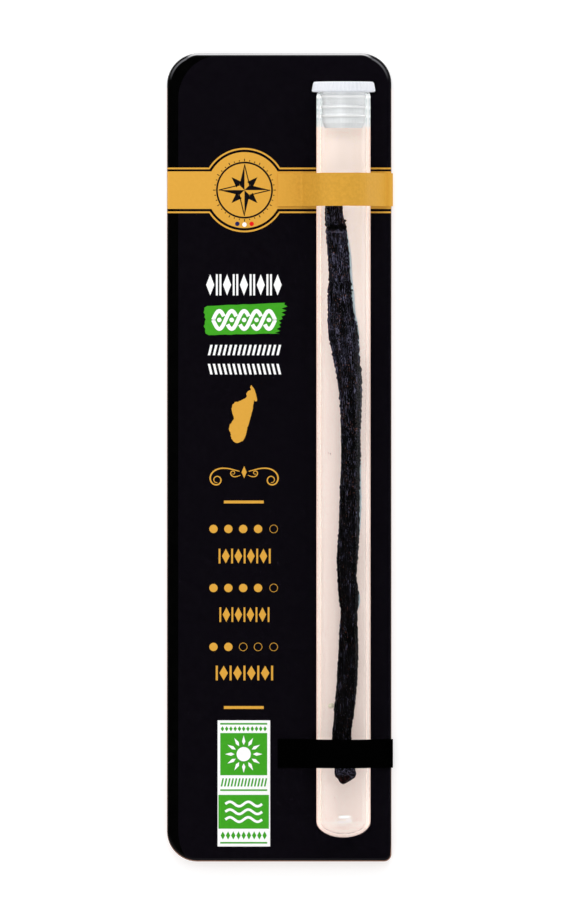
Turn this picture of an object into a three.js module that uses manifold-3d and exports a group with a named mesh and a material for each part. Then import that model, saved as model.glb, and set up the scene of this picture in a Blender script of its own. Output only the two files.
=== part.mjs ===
// A vanilla pod in its shop pack: a flat black card that lies on its back, a glass tube with a ribbed
// plastic stopper lying in a trough of the card, the cured pod inside the tube, and two paper straps
// that hold the tube down. Millimetres, +X across the card, +Y to the card's top edge, +Z up.
// The origin is the middle of the pack's footprint, on the card's flat back.

import * as THREE from "three";
import { mergeVertices } from "three/addons/utils/BufferGeometryUtils.js";
import Module from "manifold-3d";

// Card: one closed carton with softened edges. Its corners are round, but for the lower right one.
const CARD_WIDTH = 55;
const CARD_HEIGHT = 198;
const CARD_THICKNESS = 3.2;
const CARD_EDGE_ROUND = 0.8;
const CORNER_TOP_LEFT = 7.7;
const CORNER_TOP_RIGHT = 7.4;
const CORNER_LOWER_RIGHT = 1.8;
const CORNER_LOWER_LEFT = 7.4;
const CORNER_STEPS = 6;
const EDGE_STEPS = 3;

// Straps: paper bands glued on the face left of the tube, drawn over it and round the right edge.
const PAPER = 0.35;
const PAPER_GAP = 0.03;
const STRAP_CREASE_ROUND = 0.9;
const STRAP_PAD_LEFT = 9.6;
const STRAP_RISE = 10.1;
const STRAP_END_ABOVE_BACK = 0.3;
const STRAP_ARC_STEPS = 18;
const STRAP_BEND_STEPS = 4;
const UPPER_STRAP_WIDTH = 8.1;
const UPPER_STRAP_BELOW_TOP = 33.4;
const LOWER_STRAP_WIDTH = 7;
const LOWER_STRAP_BELOW_TOP = 171.5;

// Glass tube: round, with a flattened dome as its closed end, lying along Y.
const TUBE_RADIUS = 6.5;
const TUBE_WALL = 0.9;
const TUBE_DOME = 3.9;
const TUBE_SIDES = 48;
const DOME_STEPS = 8;
const RIM_STEPS = 4;
const TUBE_RIM_BELOW_TOP = 9.6;
const TUBE_END_BELOW_TOP = 192;
const TUBE_FROM_LEFT = 43.25;

// Trough in the card, the pale paper on its floor, and the deeper pocket for the stopper's head.
const TROUGH_FLOOR = 1.7;
const TROUGH_PLAY = 0.1;
const TROUGH_END_STEPS = 10;
const TUBE_REST_GAP = 0.05;
const LINER_THICKNESS = 0.3;
const POCKET_FLOOR = 0.45;
const POCKET_PLAY = 0.3;

// Stopper: a ribbed head, and a plug with three sealing rings that sits inside the tube.
const HEAD_HEIGHT = 2.5;
const HEAD_RADIUS_RIM = 7.8;
const HEAD_RADIUS_TOP = 7.45;
const HEAD_RIBS = 48;
const HEAD_RIB_DEPTH = 0.22;
const HEAD_DISH_RADIUS = 5.2;
const HEAD_DISH_DEPTH = 0.5;
const HEAD_DISH_SLOPE = 0.4;
const HEAD_EDGE = 0.3;
const HEAD_REST_GAP = 0.05;
const PLUG_LENGTH = 8.8;
const PLUG_RADIUS = 5.15;
const PLUG_TIP_RADIUS = 4.6;
const PLUG_TIP_LENGTH = 1.2;
const PLUG_SIDES = 40;
const PLUG_ROOT = 0.6;
const RING_SLIDE = 0.05;
const RING_RADIUS = TUBE_RADIUS - TUBE_WALL - RING_SLIDE;
const RING_HALF_WIDTH = 0.5;
const RING_HALF_CREST = 0.15;
const RINGS_BELOW_HEAD = [1.0, 3.6, 5.8];

// Pod: stations down its length, from the stem end to the blossom end. Each has the distance below
// the card's top edge, the offset from the tube's axis across and up, and the pod's full width.
const POD_STATIONS = [
  { below: 30.6, across: -2.9, up: -2.3, width: 1.3 },
  { below: 32.0, across: -2.9, up: -2.35, width: 2.3 },
  { below: 34.0, across: -2.7, up: -2.4, width: 3.3 },
  { below: 37.4, across: -2.45, up: -2.5, width: 3.85 },
  { below: 42.8, across: -1.85, up: -2.65, width: 4.55 },
  { below: 48.7, across: -1.25, up: -2.9, width: 4.8 },
  { below: 57.5, across: -1.0, up: -3.0, width: 4.8 },
  { below: 63.4, across: -0.6, up: -2.85, width: 5.5 },
  { below: 69.2, across: -0.1, up: -2.6, width: 6.4 },
  { below: 72.2, across: 0.35, up: -2.65, width: 5.95 },
  { below: 75.1, across: 0.75, up: -2.65, width: 5.75 },
  { below: 81.0, across: 1.45, up: -2.5, width: 5.25 },
  { below: 89.8, across: 1.85, up: -2.6, width: 4.6 },
  { below: 98.6, across: 1.75, up: -2.8, width: 4.4 },
  { below: 110.4, across: 1.6, up: -3.05, width: 4.1 },
  { below: 119.2, across: 1.2, up: -3.15, width: 4.45 },
  { below: 125.1, across: 0.85, up: -3.2, width: 4.6 },
  { below: 131.0, across: 1.05, up: -3.25, width: 4.2 },
  { below: 134.9, across: 1.25, up: -3.2, width: 4.25 },
  { below: 137.3, across: 1.35, up: -3.3, width: 3.65 },
  { below: 145.7, across: 1.1, up: -3.3, width: 4.1 },
  { below: 151.6, across: 1.0, up: -3.3, width: 4.35 },
  { below: 157.4, across: 0.6, up: -3.3, width: 4.6 },
  { below: 160.9, across: 0.15, up: -3.35, width: 4.6 },
  { below: 166.3, across: -0.35, up: -3.45, width: 4.1 },
  { below: 171.2, across: -0.1, up: -3.35, width: 4.6 },
  { below: 175.1, across: 0.25, up: -3.25, width: 4.8 },
  { below: 176.8, across: 0.55, up: -3.3, width: 4.4 },
  { below: 177.8, across: 0.35, up: -3.4, width: 2.8 },
  { below: 178.8, across: -0.05, up: -3.5, width: 1.0 },
];
const POD_TIP = 0.3;
const POD_THICKNESS_SHARE = 0.8;
const POD_SIDES = 22;
const POD_RING_STEP = 1.8;
const POD_RIDGES = 7;
const POD_RIDGE_DEPTH = 0.09;
const POD_WAVER = 1.3;
const POD_WAVER_WAVES = 9;
const POD_KNOB_DEPTH = 0.05;
const POD_KNOB_WAVES = [37, 23];
const POD_TWIST_TURNS = 0.35;

// Places worked out from the sizes above
const cardLeft = -(CARD_WIDTH + PAPER_GAP + PAPER) / 2;
const cardRight = cardLeft + CARD_WIDTH;
const cardTop = CARD_HEIGHT / 2;
const tubeX = cardLeft + TUBE_FROM_LEFT;
const linerTop = TROUGH_FLOOR + LINER_THICKNESS;
const tubeZ = linerTop + TUBE_RADIUS + TUBE_REST_GAP;
const rimY = cardTop - TUBE_RIM_BELOW_TOP;
const tubeEndY = cardTop - TUBE_END_BELOW_TOP;
const boreRadius = TUBE_RADIUS - TUBE_WALL;

const wasm = await Module();
wasm.setup();

// A geometry as a manifold solid: only positions count, and shared vertices are merged.
function toSolid(geometry) {
  const bare = geometry.clone();
  bare.deleteAttribute("normal");
  bare.deleteAttribute("uv");
  const merged = mergeVertices(bare, 1e-4);
  return new wasm.Manifold(
    new wasm.Mesh({
      numProp: 3,
      vertProperties: merged.attributes.position.array,
      triVerts: new Uint32Array(merged.index.array),
    }),
  );
}

// A manifold solid as a geometry
function toGeometry(solid) {
  const mesh = solid.getMesh();
  const geometry = new THREE.BufferGeometry();
  geometry.setAttribute("position", new THREE.BufferAttribute(mesh.vertProperties, 3));
  geometry.setIndex(new THREE.BufferAttribute(mesh.triVerts, 1));
  geometry.computeVertexNormals();
  return geometry;
}

function namedMesh(name, geometry, color, roughness, extra = {}) {
  const material = new THREE.MeshStandardMaterial({ color, roughness, metalness: 0, ...extra });
  const mesh = new THREE.Mesh(geometry, material);
  mesh.name = name;
  return mesh;
}

// The card's outline, anticlockwise from the lower left corner, each corner with its own radius
function cardOutline() {
  const quarter = Math.PI / 2;
  const bottom = -cardTop;
  const outline = new THREE.Shape();
  outline.moveTo(cardLeft + CORNER_LOWER_LEFT, bottom);
  outline.lineTo(cardRight - CORNER_LOWER_RIGHT, bottom);
  outline.absarc(
    cardRight - CORNER_LOWER_RIGHT, bottom + CORNER_LOWER_RIGHT, CORNER_LOWER_RIGHT, -quarter, 0, false,
  );
  outline.lineTo(cardRight, cardTop - CORNER_TOP_RIGHT);
  outline.absarc(
    cardRight - CORNER_TOP_RIGHT, cardTop - CORNER_TOP_RIGHT, CORNER_TOP_RIGHT, 0, quarter, false,
  );
  outline.lineTo(cardLeft + CORNER_TOP_LEFT, cardTop);
  outline.absarc(
    cardLeft + CORNER_TOP_LEFT, cardTop - CORNER_TOP_LEFT, CORNER_TOP_LEFT, quarter, 2 * quarter, false,
  );
  outline.lineTo(cardLeft, bottom + CORNER_LOWER_LEFT);
  outline.absarc(
    cardLeft + CORNER_LOWER_LEFT, bottom + CORNER_LOWER_LEFT, CORNER_LOWER_LEFT,
    2 * quarter, 3 * quarter, false,
  );
  return outline;
}

// The tube's outline seen from above, grown by play: straight sides and the dome's half ellipse
function tubeOutline(play) {
  const half = TUBE_RADIUS + play;
  const outline = new THREE.Shape();
  outline.moveTo(tubeX + half, rimY);
  outline.lineTo(tubeX - half, rimY);
  outline.lineTo(tubeX - half, tubeEndY + TUBE_DOME);
  outline.absellipse(
    tubeX, tubeEndY + TUBE_DOME, half, TUBE_DOME + play, Math.PI, 2 * Math.PI, false, 0,
  );
  return outline;
}

// A flat outline raised into a plate between two heights
function plate(outline, low, high) {
  const geometry = new THREE.ExtrudeGeometry(outline, {
    depth: high - low,
    bevelEnabled: false,
    curveSegments: TROUGH_END_STEPS,
  });
  return geometry.translate(0, 0, low);
}

function makeCard() {
  const body = new THREE.ExtrudeGeometry(cardOutline(), {
    depth: CARD_THICKNESS - 2 * CARD_EDGE_ROUND,
    curveSegments: CORNER_STEPS,
    bevelEnabled: true,
    bevelThickness: CARD_EDGE_ROUND,
    bevelSize: CARD_EDGE_ROUND,
    bevelOffset: -CARD_EDGE_ROUND,
    bevelSegments: EDGE_STEPS,
  }).translate(0, 0, CARD_EDGE_ROUND);
  const clear = CARD_THICKNESS + 1;
  const trough = plate(tubeOutline(TROUGH_PLAY), TROUGH_FLOOR, clear);
  const pocketDepth = HEAD_HEIGHT + 2 * POCKET_PLAY;
  const pocket = new THREE.BoxGeometry(
    2 * (HEAD_RADIUS_RIM + POCKET_PLAY), pocketDepth, clear - POCKET_FLOOR,
  ).translate(tubeX, rimY + HEAD_HEIGHT / 2, (clear + POCKET_FLOOR) / 2);
  const cut = toSolid(body).subtract(toSolid(trough)).subtract(toSolid(pocket));
  return namedMesh("card", toGeometry(cut), 0x0e0b11, 0.55);
}

function makeLiner() {
  const strip = plate(tubeOutline(0), TROUGH_FLOOR, linerTop);
  const pastRim = 2 * HEAD_HEIGHT;
  const pocketSide = new THREE.BoxGeometry(2 * CARD_WIDTH, pastRim, 2 * CARD_THICKNESS)
    .translate(tubeX, rimY - POCKET_PLAY + pastRim / 2, linerTop);
  return namedMesh("liner", toGeometry(toSolid(strip).subtract(toSolid(pocketSide))), 0xf8e4d7, 0.9);
}

// Points of a half ellipse's quarter, from the axis out to the full radius
function domeQuarter(radius, height, endY) {
  const points = [];
  for (let i = 0; i <= DOME_STEPS; i++) {
    const angle = (i / DOME_STEPS) * (Math.PI / 2);
    points.push(new THREE.Vector2(radius * Math.sin(angle), endY + height * (1 - Math.cos(angle))));
  }
  points[0].x = 0;
  return points;
}

function makeTube() {
  const rimRound = TUBE_WALL / 2;
  const outside = domeQuarter(TUBE_RADIUS, TUBE_DOME, tubeEndY);
  const inside = domeQuarter(boreRadius, TUBE_DOME - TUBE_WALL, tubeEndY + TUBE_WALL).reverse();
  const rim = [];
  for (let i = 0; i <= RIM_STEPS; i++) {
    const angle = (i / RIM_STEPS) * Math.PI;
    rim.push(
      new THREE.Vector2(
        TUBE_RADIUS - rimRound + rimRound * Math.cos(angle),
        rimY - rimRound + rimRound * Math.sin(angle),
      ),
    );
  }
  const geometry = new THREE.LatheGeometry([...outside, ...rim, ...inside], TUBE_SIDES);
  geometry.translate(tubeX, 0, tubeZ);
  return namedMesh("glass_tube", geometry, 0xf4f6f6, 0.05, { transparent: true, opacity: 0.25 });
}

// The head: a low cone with a shallow dish on top, its rim cut into upright ribs
function headGeometry() {
  const dishFloor = HEAD_HEIGHT - HEAD_DISH_DEPTH;
  const profile = [
    [0, 0], [HEAD_RADIUS_RIM - HEAD_EDGE, 0], [HEAD_RADIUS_RIM, HEAD_EDGE],
    [HEAD_RADIUS_TOP, HEAD_HEIGHT - HEAD_EDGE], [HEAD_RADIUS_TOP - HEAD_EDGE, HEAD_HEIGHT],
    [HEAD_DISH_RADIUS, HEAD_HEIGHT], [HEAD_DISH_RADIUS - HEAD_DISH_SLOPE, dishFloor], [0, dishFloor],
  ].map(([r, y]) => new THREE.Vector2(r, y));
  const segments = 2 * HEAD_RIBS;
  const geometry = new THREE.LatheGeometry(profile, segments);
  const position = geometry.attributes.position;
  const ribbedRings = [2, 3];
  for (let i = 0; i < position.count; i++) {
    const segment = Math.floor(i / profile.length) % segments;
    if (segment % 2 === 0 || !ribbedRings.includes(i % profile.length)) continue;
    const radius = Math.hypot(position.getX(i), position.getZ(i));
    const shrink = (radius - HEAD_RIB_DEPTH) / radius;
    position.setX(i, position.getX(i) * shrink);
    position.setZ(i, position.getZ(i) * shrink);
  }
  return geometry;
}

// The plug's profile goes down from the head: a ring swells out of it at each sealing height.
function plugGeometry() {
  const side = [[0, PLUG_ROOT], [PLUG_RADIUS, PLUG_ROOT]];
  for (const below of RINGS_BELOW_HEAD) {
    side.push([PLUG_RADIUS, -below + RING_HALF_WIDTH]);
    side.push([RING_RADIUS, -below + RING_HALF_CREST], [RING_RADIUS, -below - RING_HALF_CREST]);
    side.push([PLUG_RADIUS, -below - RING_HALF_WIDTH]);
  }
  side.push([PLUG_RADIUS, PLUG_TIP_LENGTH - PLUG_LENGTH], [PLUG_TIP_RADIUS, -PLUG_LENGTH]);
  side.push([0, -PLUG_LENGTH]);
  return new THREE.LatheGeometry(side.map(([r, y]) => new THREE.Vector2(r, y)).reverse(), PLUG_SIDES);
}

function makeCap() {
  const joined = toSolid(headGeometry()).add(toSolid(plugGeometry()));
  const geometry = toGeometry(joined).translate(tubeX, rimY + HEAD_REST_GAP, tubeZ);
  return namedMesh("cap", geometry, 0xeef1f8, 0.45);
}

// The pod's rings, read off smooth curves through the stations. Each stretch between two stations has
// as many rings as its length needs.
function podRings() {
  const first = POD_STATIONS[0].below;
  const length = POD_STATIONS.at(-1).below - first;
  const centre = new THREE.CatmullRomCurve3(
    POD_STATIONS.map((s) => new THREE.Vector3(tubeX + s.across, cardTop - s.below, tubeZ + s.up)),
  );
  const width = new THREE.CatmullRomCurve3(
    POD_STATIONS.map((s) => new THREE.Vector3(0, cardTop - s.below, s.width)),
  );
  const stretches = POD_STATIONS.length - 1;
  const rings = [];
  for (let stretch = 0; stretch < stretches; stretch++) {
    const span = POD_STATIONS[stretch + 1].below - POD_STATIONS[stretch].below;
    const steps = Math.ceil(span / POD_RING_STEP);
    for (let step = stretch === 0 ? 0 : 1; step <= steps; step++) {
      const t = (stretch + step / steps) / stretches;
      const at = centre.getPoint(t);
      rings.push({ at, half: width.getPoint(t).z / 2, along: (cardTop - at.y - first) / length });
    }
  }
  return rings;
}

// The pod's skin shrinks into lengthwise ridges, and knobs swell where it has dried unevenly.
function podRadiusFactor(angle, along) {
  const twist = POD_TWIST_TURNS * 2 * Math.PI * along;
  const waver = POD_WAVER * Math.sin(POD_WAVER_WAVES * along);
  const ridges = Math.cos(POD_RIDGES * (angle + twist) + waver);
  const knobs = Math.sin(POD_KNOB_WAVES[0] * along + 2 * angle) * Math.sin(POD_KNOB_WAVES[1] * along - angle);
  return 1 + POD_RIDGE_DEPTH * ridges + POD_KNOB_DEPTH * knobs;
}

function makePod() {
  const rings = podRings();
  const vertices = [];
  for (const { at, half, along } of rings) {
    for (let side = 0; side < POD_SIDES; side++) {
      const angle = (side / POD_SIDES) * 2 * Math.PI;
      const radius = half * podRadiusFactor(angle, along);
      vertices.push(
        at.x + radius * Math.cos(angle),
        at.y,
        at.z + radius * POD_THICKNESS_SHARE * Math.sin(angle),
      );
    }
  }
  const stemTip = rings[0].at;
  const blossomTip = rings.at(-1).at;
  const last = rings.length - 1;
  const stem = vertices.length / 3;
  vertices.push(stemTip.x, stemTip.y + POD_TIP, stemTip.z);
  vertices.push(blossomTip.x, blossomTip.y - POD_TIP, blossomTip.z);
  const faces = [];
  for (let side = 0; side < POD_SIDES; side++) {
    const next = (side + 1) % POD_SIDES;
    for (let ring = 0; ring < last; ring++) {
      const a = ring * POD_SIDES + side;
      const b = ring * POD_SIDES + next;
      faces.push(a, b, a + POD_SIDES, b, b + POD_SIDES, a + POD_SIDES);
    }
    faces.push(stem, next, side);
    faces.push(stem + 1, last * POD_SIDES + side, last * POD_SIDES + next);
  }
  const geometry = new THREE.BufferGeometry();
  geometry.setAttribute("position", new THREE.Float32BufferAttribute(vertices, 3));
  geometry.setIndex(faces);
  geometry.computeVertexNormals();
  return namedMesh("vanilla_pod", geometry, 0x1c181b, 0.5);
}

// Where a line from a point on the card's face first touches the band's circle over the tube.
// side is 1 on the right of the tube and -1 on its left. Angles are measured in the XZ plane.
function tangentAngle(radius, side) {
  const rise = tubeZ - (CARD_THICKNESS + PAPER_GAP + PAPER / 2);
  const distance = Math.hypot(STRAP_RISE, rise);
  const toPoint = Math.atan2(-rise, side * STRAP_RISE);
  return toPoint + side * Math.acos(radius / distance);
}

// The corner of a polyline made round, as points of an arc that touches both of its sides
function roundedCorner(before, corner, after, radius) {
  const toBefore = before.clone().sub(corner).normalize();
  const toAfter = after.clone().sub(corner).normalize();
  const half = Math.acos(toBefore.dot(toAfter)) / 2;
  const middle = toBefore.clone().add(toAfter).normalize();
  const centre = corner.clone().addScaledVector(middle, radius / Math.sin(half));
  const start = corner.clone().addScaledVector(toBefore, radius / Math.tan(half)).sub(centre);
  const end = corner.clone().addScaledVector(toAfter, radius / Math.tan(half)).sub(centre);
  const from = start.angle();
  let sweep = end.angle() - from;
  if (sweep > Math.PI) sweep -= 2 * Math.PI;
  if (sweep < -Math.PI) sweep += 2 * Math.PI;
  const points = [];
  for (let i = 0; i <= STRAP_BEND_STEPS; i++) {
    const angle = from + (sweep * i) / STRAP_BEND_STEPS;
    points.push(
      new THREE.Vector2(centre.x + radius * Math.cos(angle), centre.y + radius * Math.sin(angle)),
    );
  }
  return points;
}

// The band's middle line in the XZ plane, from its glued left end to its free end at the right edge
function strapLine() {
  const level = CARD_THICKNESS + PAPER_GAP + PAPER / 2;
  const radius = TUBE_RADIUS + 2 * PAPER_GAP + PAPER / 2;
  const outer = cardRight + PAPER_GAP + PAPER / 2;
  const left = tangentAngle(radius, -1);
  const right = tangentAngle(radius, 1);
  const onCircle = (angle) =>
    new THREE.Vector2(tubeX + radius * Math.cos(angle), tubeZ + radius * Math.sin(angle));
  const start = new THREE.Vector2(tubeX - TUBE_RADIUS - STRAP_PAD_LEFT, level);
  const leftCrease = new THREE.Vector2(tubeX - STRAP_RISE, level);
  const rightCrease = new THREE.Vector2(tubeX + STRAP_RISE, level);
  const edge = new THREE.Vector2(outer, level);
  const end = new THREE.Vector2(outer, STRAP_END_ABOVE_BACK);
  const over = [];
  const sweep = right - left - 2 * Math.PI * Math.ceil((right - left) / (2 * Math.PI));
  for (let i = 0; i <= STRAP_ARC_STEPS; i++) {
    over.push(onCircle(left + (sweep * i) / STRAP_ARC_STEPS));
  }
  return [
    start,
    ...roundedCorner(start, leftCrease, over[0], STRAP_CREASE_ROUND),
    ...over,
    ...roundedCorner(over.at(-1), rightCrease, edge, STRAP_CREASE_ROUND),
    ...roundedCorner(rightCrease, edge, end, CARD_EDGE_ROUND + PAPER / 2),
    end,
  ];
}

// A closed outline a constant distance to both sides of a line
function thickened(line, thickness) {
  const sides = [[], []];
  line.forEach((point, i) => {
    const before = line[Math.max(i - 1, 0)];
    const after = line[Math.min(i + 1, line.length - 1)];
    const normal = new THREE.Vector2(before.y - after.y, after.x - before.x).normalize();
    sides[0].push(point.clone().addScaledVector(normal, thickness / 2));
    sides[1].push(point.clone().addScaledVector(normal, -thickness / 2));
  });
  return new THREE.Shape([...sides[0], ...sides[1].reverse()]);
}

function makeStrap(name, width, belowTop, color, roughness) {
  const geometry = new THREE.ExtrudeGeometry(thickened(strapLine(), PAPER), {
    depth: width,
    bevelEnabled: false,
  });
  geometry.rotateX(Math.PI / 2);
  geometry.translate(0, cardTop - belowTop + width / 2, 0);
  return namedMesh(name, geometry, color, roughness);
}

const pack = new THREE.Group();
pack.add(makeCard());
pack.add(makeLiner());
pack.add(makeTube());
pack.add(makeCap());
pack.add(makePod());
pack.add(makeStrap("upper_strap", UPPER_STRAP_WIDTH, UPPER_STRAP_BELOW_TOP, 0xd9a241, 0.5));
pack.add(makeStrap("lower_strap", LOWER_STRAP_WIDTH, LOWER_STRAP_BELOW_TOP, 0x020202, 0.5));

export default pack;
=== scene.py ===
# %% [markdown]
# # A vanilla pod in its shop pack
#
# The pack is a flat black card with a stoppered glass tube strapped in a trough along one side, and a
# cured vanilla pod in the tube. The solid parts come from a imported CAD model, which is loaded first and
# never moved. Blender adds what a solid model doesn't hold: print, paper grain, clear glass, milky
# plastic, and the wrinkled, oily skin of the pod. Lengths here are in millimetres times `MM`, because
# Blender works in metres.

# %% Load the pack's solids
import math

import bmesh
import bpy
import numpy as np
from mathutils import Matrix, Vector


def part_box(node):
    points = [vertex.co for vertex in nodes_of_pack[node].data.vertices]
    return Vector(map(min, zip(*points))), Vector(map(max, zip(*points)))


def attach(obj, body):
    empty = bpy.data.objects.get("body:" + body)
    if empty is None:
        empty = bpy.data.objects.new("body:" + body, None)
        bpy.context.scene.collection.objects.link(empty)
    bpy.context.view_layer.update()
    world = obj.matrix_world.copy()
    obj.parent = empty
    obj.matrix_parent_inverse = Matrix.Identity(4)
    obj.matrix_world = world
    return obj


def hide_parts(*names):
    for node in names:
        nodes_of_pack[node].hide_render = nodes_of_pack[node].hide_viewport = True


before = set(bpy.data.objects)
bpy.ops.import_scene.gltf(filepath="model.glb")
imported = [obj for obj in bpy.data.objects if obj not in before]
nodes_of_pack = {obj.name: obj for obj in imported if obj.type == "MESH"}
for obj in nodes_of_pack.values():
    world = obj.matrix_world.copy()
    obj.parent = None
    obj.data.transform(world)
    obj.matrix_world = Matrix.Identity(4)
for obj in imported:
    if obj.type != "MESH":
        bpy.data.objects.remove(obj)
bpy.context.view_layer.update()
MM = 0.001
print("solids:", ", ".join(sorted(nodes_of_pack)))

# %% [markdown]
# Print and labels are placed as a printer would: so far across from the card's left edge, and so far
# down from its top edge. These two edges, and the height of the card's face, are read off the card's
# own box, so the print stays on the card.

# %% Measure the card and the tube
card_low, card_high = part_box("card")
tube_low, tube_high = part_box("glass_tube")
CARD_LEFT = card_low.x
CARD_RIGHT = card_high.x
CARD_TOP = card_high.y
CARD_BOTTOM = card_low.y
FACE = card_high.z
TUBE_X = (tube_low.x + tube_high.x) / 2
TUBE_Z = (tube_low.z + tube_high.z) / 2
TUBE_RADIUS = (tube_high.x - tube_low.x) / 2
TUBE_RIM = tube_high.y
TUBE_WALL = 0.9 * MM
print("card", [round(v / MM, 2) for v in card_high - card_low], "mm, tube axis at x", round(TUBE_X / MM, 2))

# %% [markdown]
# ## The camera
#
# The pack was photographed square on. Lying on its back, it is seen from straight above, by a long lens
# that keeps the tall card's edges parallel. The lens is worked out from the height of the view, so that
# the card fills the picture as it does in the photograph.

# %% Hang a long lens over the pack
VIEW_HEIGHT = 222.95 * MM
VIEW_CENTRE = (0.98 * MM, 0.61 * MM)
CAMERA_HEIGHT = 6.0
SENSOR = 36.0
camera_data = bpy.data.cameras.new("long_lens")
camera_data.sensor_width = SENSOR
camera_data.lens = SENSOR * (CAMERA_HEIGHT - FACE) / VIEW_HEIGHT
camera_data.clip_start = 0.05
camera_data.clip_end = 30
camera = bpy.data.objects.new("long_lens", camera_data)
camera.location = (*VIEW_CENTRE, CAMERA_HEIGHT)
bpy.context.scene.collection.objects.link(camera)
bpy.context.scene.camera = camera
print("lens", round(camera_data.lens, 1), "mm at", CAMERA_HEIGHT, "m")

# %% [markdown]
# ## The table and the light
#
# The pack lies on a plain white table. A little light of the table's own keeps it white in the pack's
# shade, as it is on a lightbox.

# %% Lay a white table
TABLE = 1.5
TABLE_GREY = 0.62
table_mesh = bpy.data.meshes.new("white_table")
table_corners = [(-TABLE, -TABLE, 0), (TABLE, -TABLE, 0), (TABLE, TABLE, 0), (-TABLE, TABLE, 0)]
table_mesh.from_pydata(table_corners, [], [(0, 1, 2, 3)])
white_table = bpy.data.objects.new("white_table", table_mesh)
bpy.context.scene.collection.objects.link(white_table)


def new_material(name):
    """A material with its node tree and its main shader."""
    material = bpy.data.materials.new(name)
    material.use_nodes = True
    tree = material.node_tree
    return material, tree, tree.nodes["Principled BSDF"]


table_paper, _, shader = new_material("table_paper")
shader.inputs["Base Color"].default_value = (TABLE_GREY, TABLE_GREY, TABLE_GREY, 1)
shader.inputs["Roughness"].default_value = 0.9
shader.inputs["Specular IOR Level"].default_value = 0.1
shader.inputs["Emission Color"].default_value = (1, 1, 1, 1)
shader.inputs["Emission Strength"].default_value = 0.5
table_mesh.materials.append(table_paper)
print("table", 2 * TABLE, "m wide")

# %% [markdown]
# A product photograph like this has soft light and almost no shadow. Glass and black card are lit from
# where they can't mirror it into the lens. Seen from above, the flat card mirrors only what is overhead,
# and the long tube only what is in the upright plane across it. So the room is bright past the pack's
# two ends and dim in a band between them. A slim softbox on the left draws a thin line along the glass,
# a broad one on the right lays a soft gleam on it, and one past the top edge lights the card's rim.

# %% Light the room
ROOM_BAND, ROOM_ENDS = 0.015, 0.98
BAND_STARTS, BAND_IS_OVER = 0.08, 0.24


def set_range(node, *limits):
    """Sets a Map Range node: from low and high, to low and high."""
    for socket, number in zip(("From Min", "From Max", "To Min", "To Max"), limits):
        node.inputs[socket].default_value = number


room = bpy.data.worlds.new("white_room")
bpy.context.scene.world = room
room.use_nodes = True
room_tree = room.node_tree
direction = room_tree.nodes.new("ShaderNodeTexCoord")
parts = room_tree.nodes.new("ShaderNodeSeparateXYZ")
endward = room_tree.nodes.new("ShaderNodeMath")
endward.operation = "ABSOLUTE"
brightening = room_tree.nodes.new("ShaderNodeMapRange")
brightening.interpolation_type = "SMOOTHSTEP"
set_range(brightening, BAND_STARTS, BAND_IS_OVER, ROOM_BAND, ROOM_ENDS)
background = room_tree.nodes["Background"]
background.inputs["Color"].default_value = (1, 1, 1, 1)
room_tree.links.new(direction.outputs["Generated"], parts.inputs[0])
room_tree.links.new(parts.outputs["Y"], endward.inputs[0])
room_tree.links.new(endward.outputs[0], brightening.inputs["Value"])
room_tree.links.new(brightening.outputs[0], background.inputs["Strength"])


def hang_softbox(name, place, size, watts):
    """A rectangular softbox at a place in metres, turned towards the middle of the pack."""
    light = bpy.data.lights.new(name, "AREA")
    light.shape = "RECTANGLE"
    light.size, light.size_y = size
    light.energy = watts
    box = bpy.data.objects.new(name, light)
    box.location = place
    box.rotation_mode = "QUATERNION"
    box.rotation_quaternion = (-Vector(place)).to_track_quat("-Z", "Y")
    bpy.context.scene.collection.objects.link(box)


hang_softbox("softbox_left", (-0.56, 0, 0.33), (1.4, 0.13), 1.3)
hang_softbox("softbox_right", (0.62, 0, 0.22), (1.4, 0.36), 0.6)
hang_softbox("softbox_far", (0, 0.80, 0.55), (0.9, 0.16), 4.0)
bpy.context.scene.view_settings.view_transform = "Standard"

# %% [markdown]
# ## Finishes made from nodes
#
# Paper, plastic and skin are never one flat colour. Each finish here mixes a noise into its colour, its
# roughness and its surface height. The noises are read in the pack's own coordinates, in metres, so a
# grain of 0.2 mm needs a scale of about 5000, and it keeps its size on every piece.

# %% Helpers for grain
EVEN = (1, 1, 1)
WHITE = (1.0, 1.0, 1.0)


def pack_coordinates(tree, stretch=EVEN):
    """Coordinates in the pack's frame, stretched so that a grain can be longer one way."""
    where = tree.nodes.new("ShaderNodeTexCoord")
    mapping = tree.nodes.new("ShaderNodeMapping")
    mapping.inputs["Scale"].default_value = stretch
    tree.links.new(where.outputs["Object"], mapping.inputs["Vector"])
    return mapping.outputs["Vector"]


def grain(tree, size, detail=3.0, stretch=EVEN):
    """A noise whose grains are about size metres across."""
    noise = tree.nodes.new("ShaderNodeTexNoise")
    noise.inputs["Scale"].default_value = 1 / size
    noise.inputs["Detail"].default_value = detail
    tree.links.new(pack_coordinates(tree, stretch), noise.inputs["Vector"])
    return noise.outputs["Fac"]


def remap(tree, value, low, high, to_low, to_high):
    """A value's range moved to another range."""
    node = tree.nodes.new("ShaderNodeMapRange")
    set_range(node, low, high, to_low, to_high)
    tree.links.new(value, node.inputs["Value"])
    return node.outputs[0]


def uneven(tree, size, low, high, detail=3.0, stretch=EVEN):
    """A value that wanders between low and high, in grains about size metres across."""
    return remap(tree, grain(tree, size, detail, stretch), 0.3, 0.7, low, high)


# %% [markdown]
# A share from 0 to 1 then blends two colours, or becomes relief: the shader tilts the light on it as if
# the surface rose and sank, which is enough for grain that is too fine to model.

# %% Helpers for colour and relief
def blend_colours(tree, share, first, second):
    """A colour between two, each a tuple or another node's output."""
    node = tree.nodes.new("ShaderNodeMix")
    node.data_type = "RGBA"
    tree.links.new(share, node.inputs[0])
    for socket, colour in ((node.inputs[6], first), (node.inputs[7], second)):
        if isinstance(colour, tuple):
            socket.default_value = (*colour, 1)
        else:
            tree.links.new(colour, socket)
    return node.outputs[2]


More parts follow.
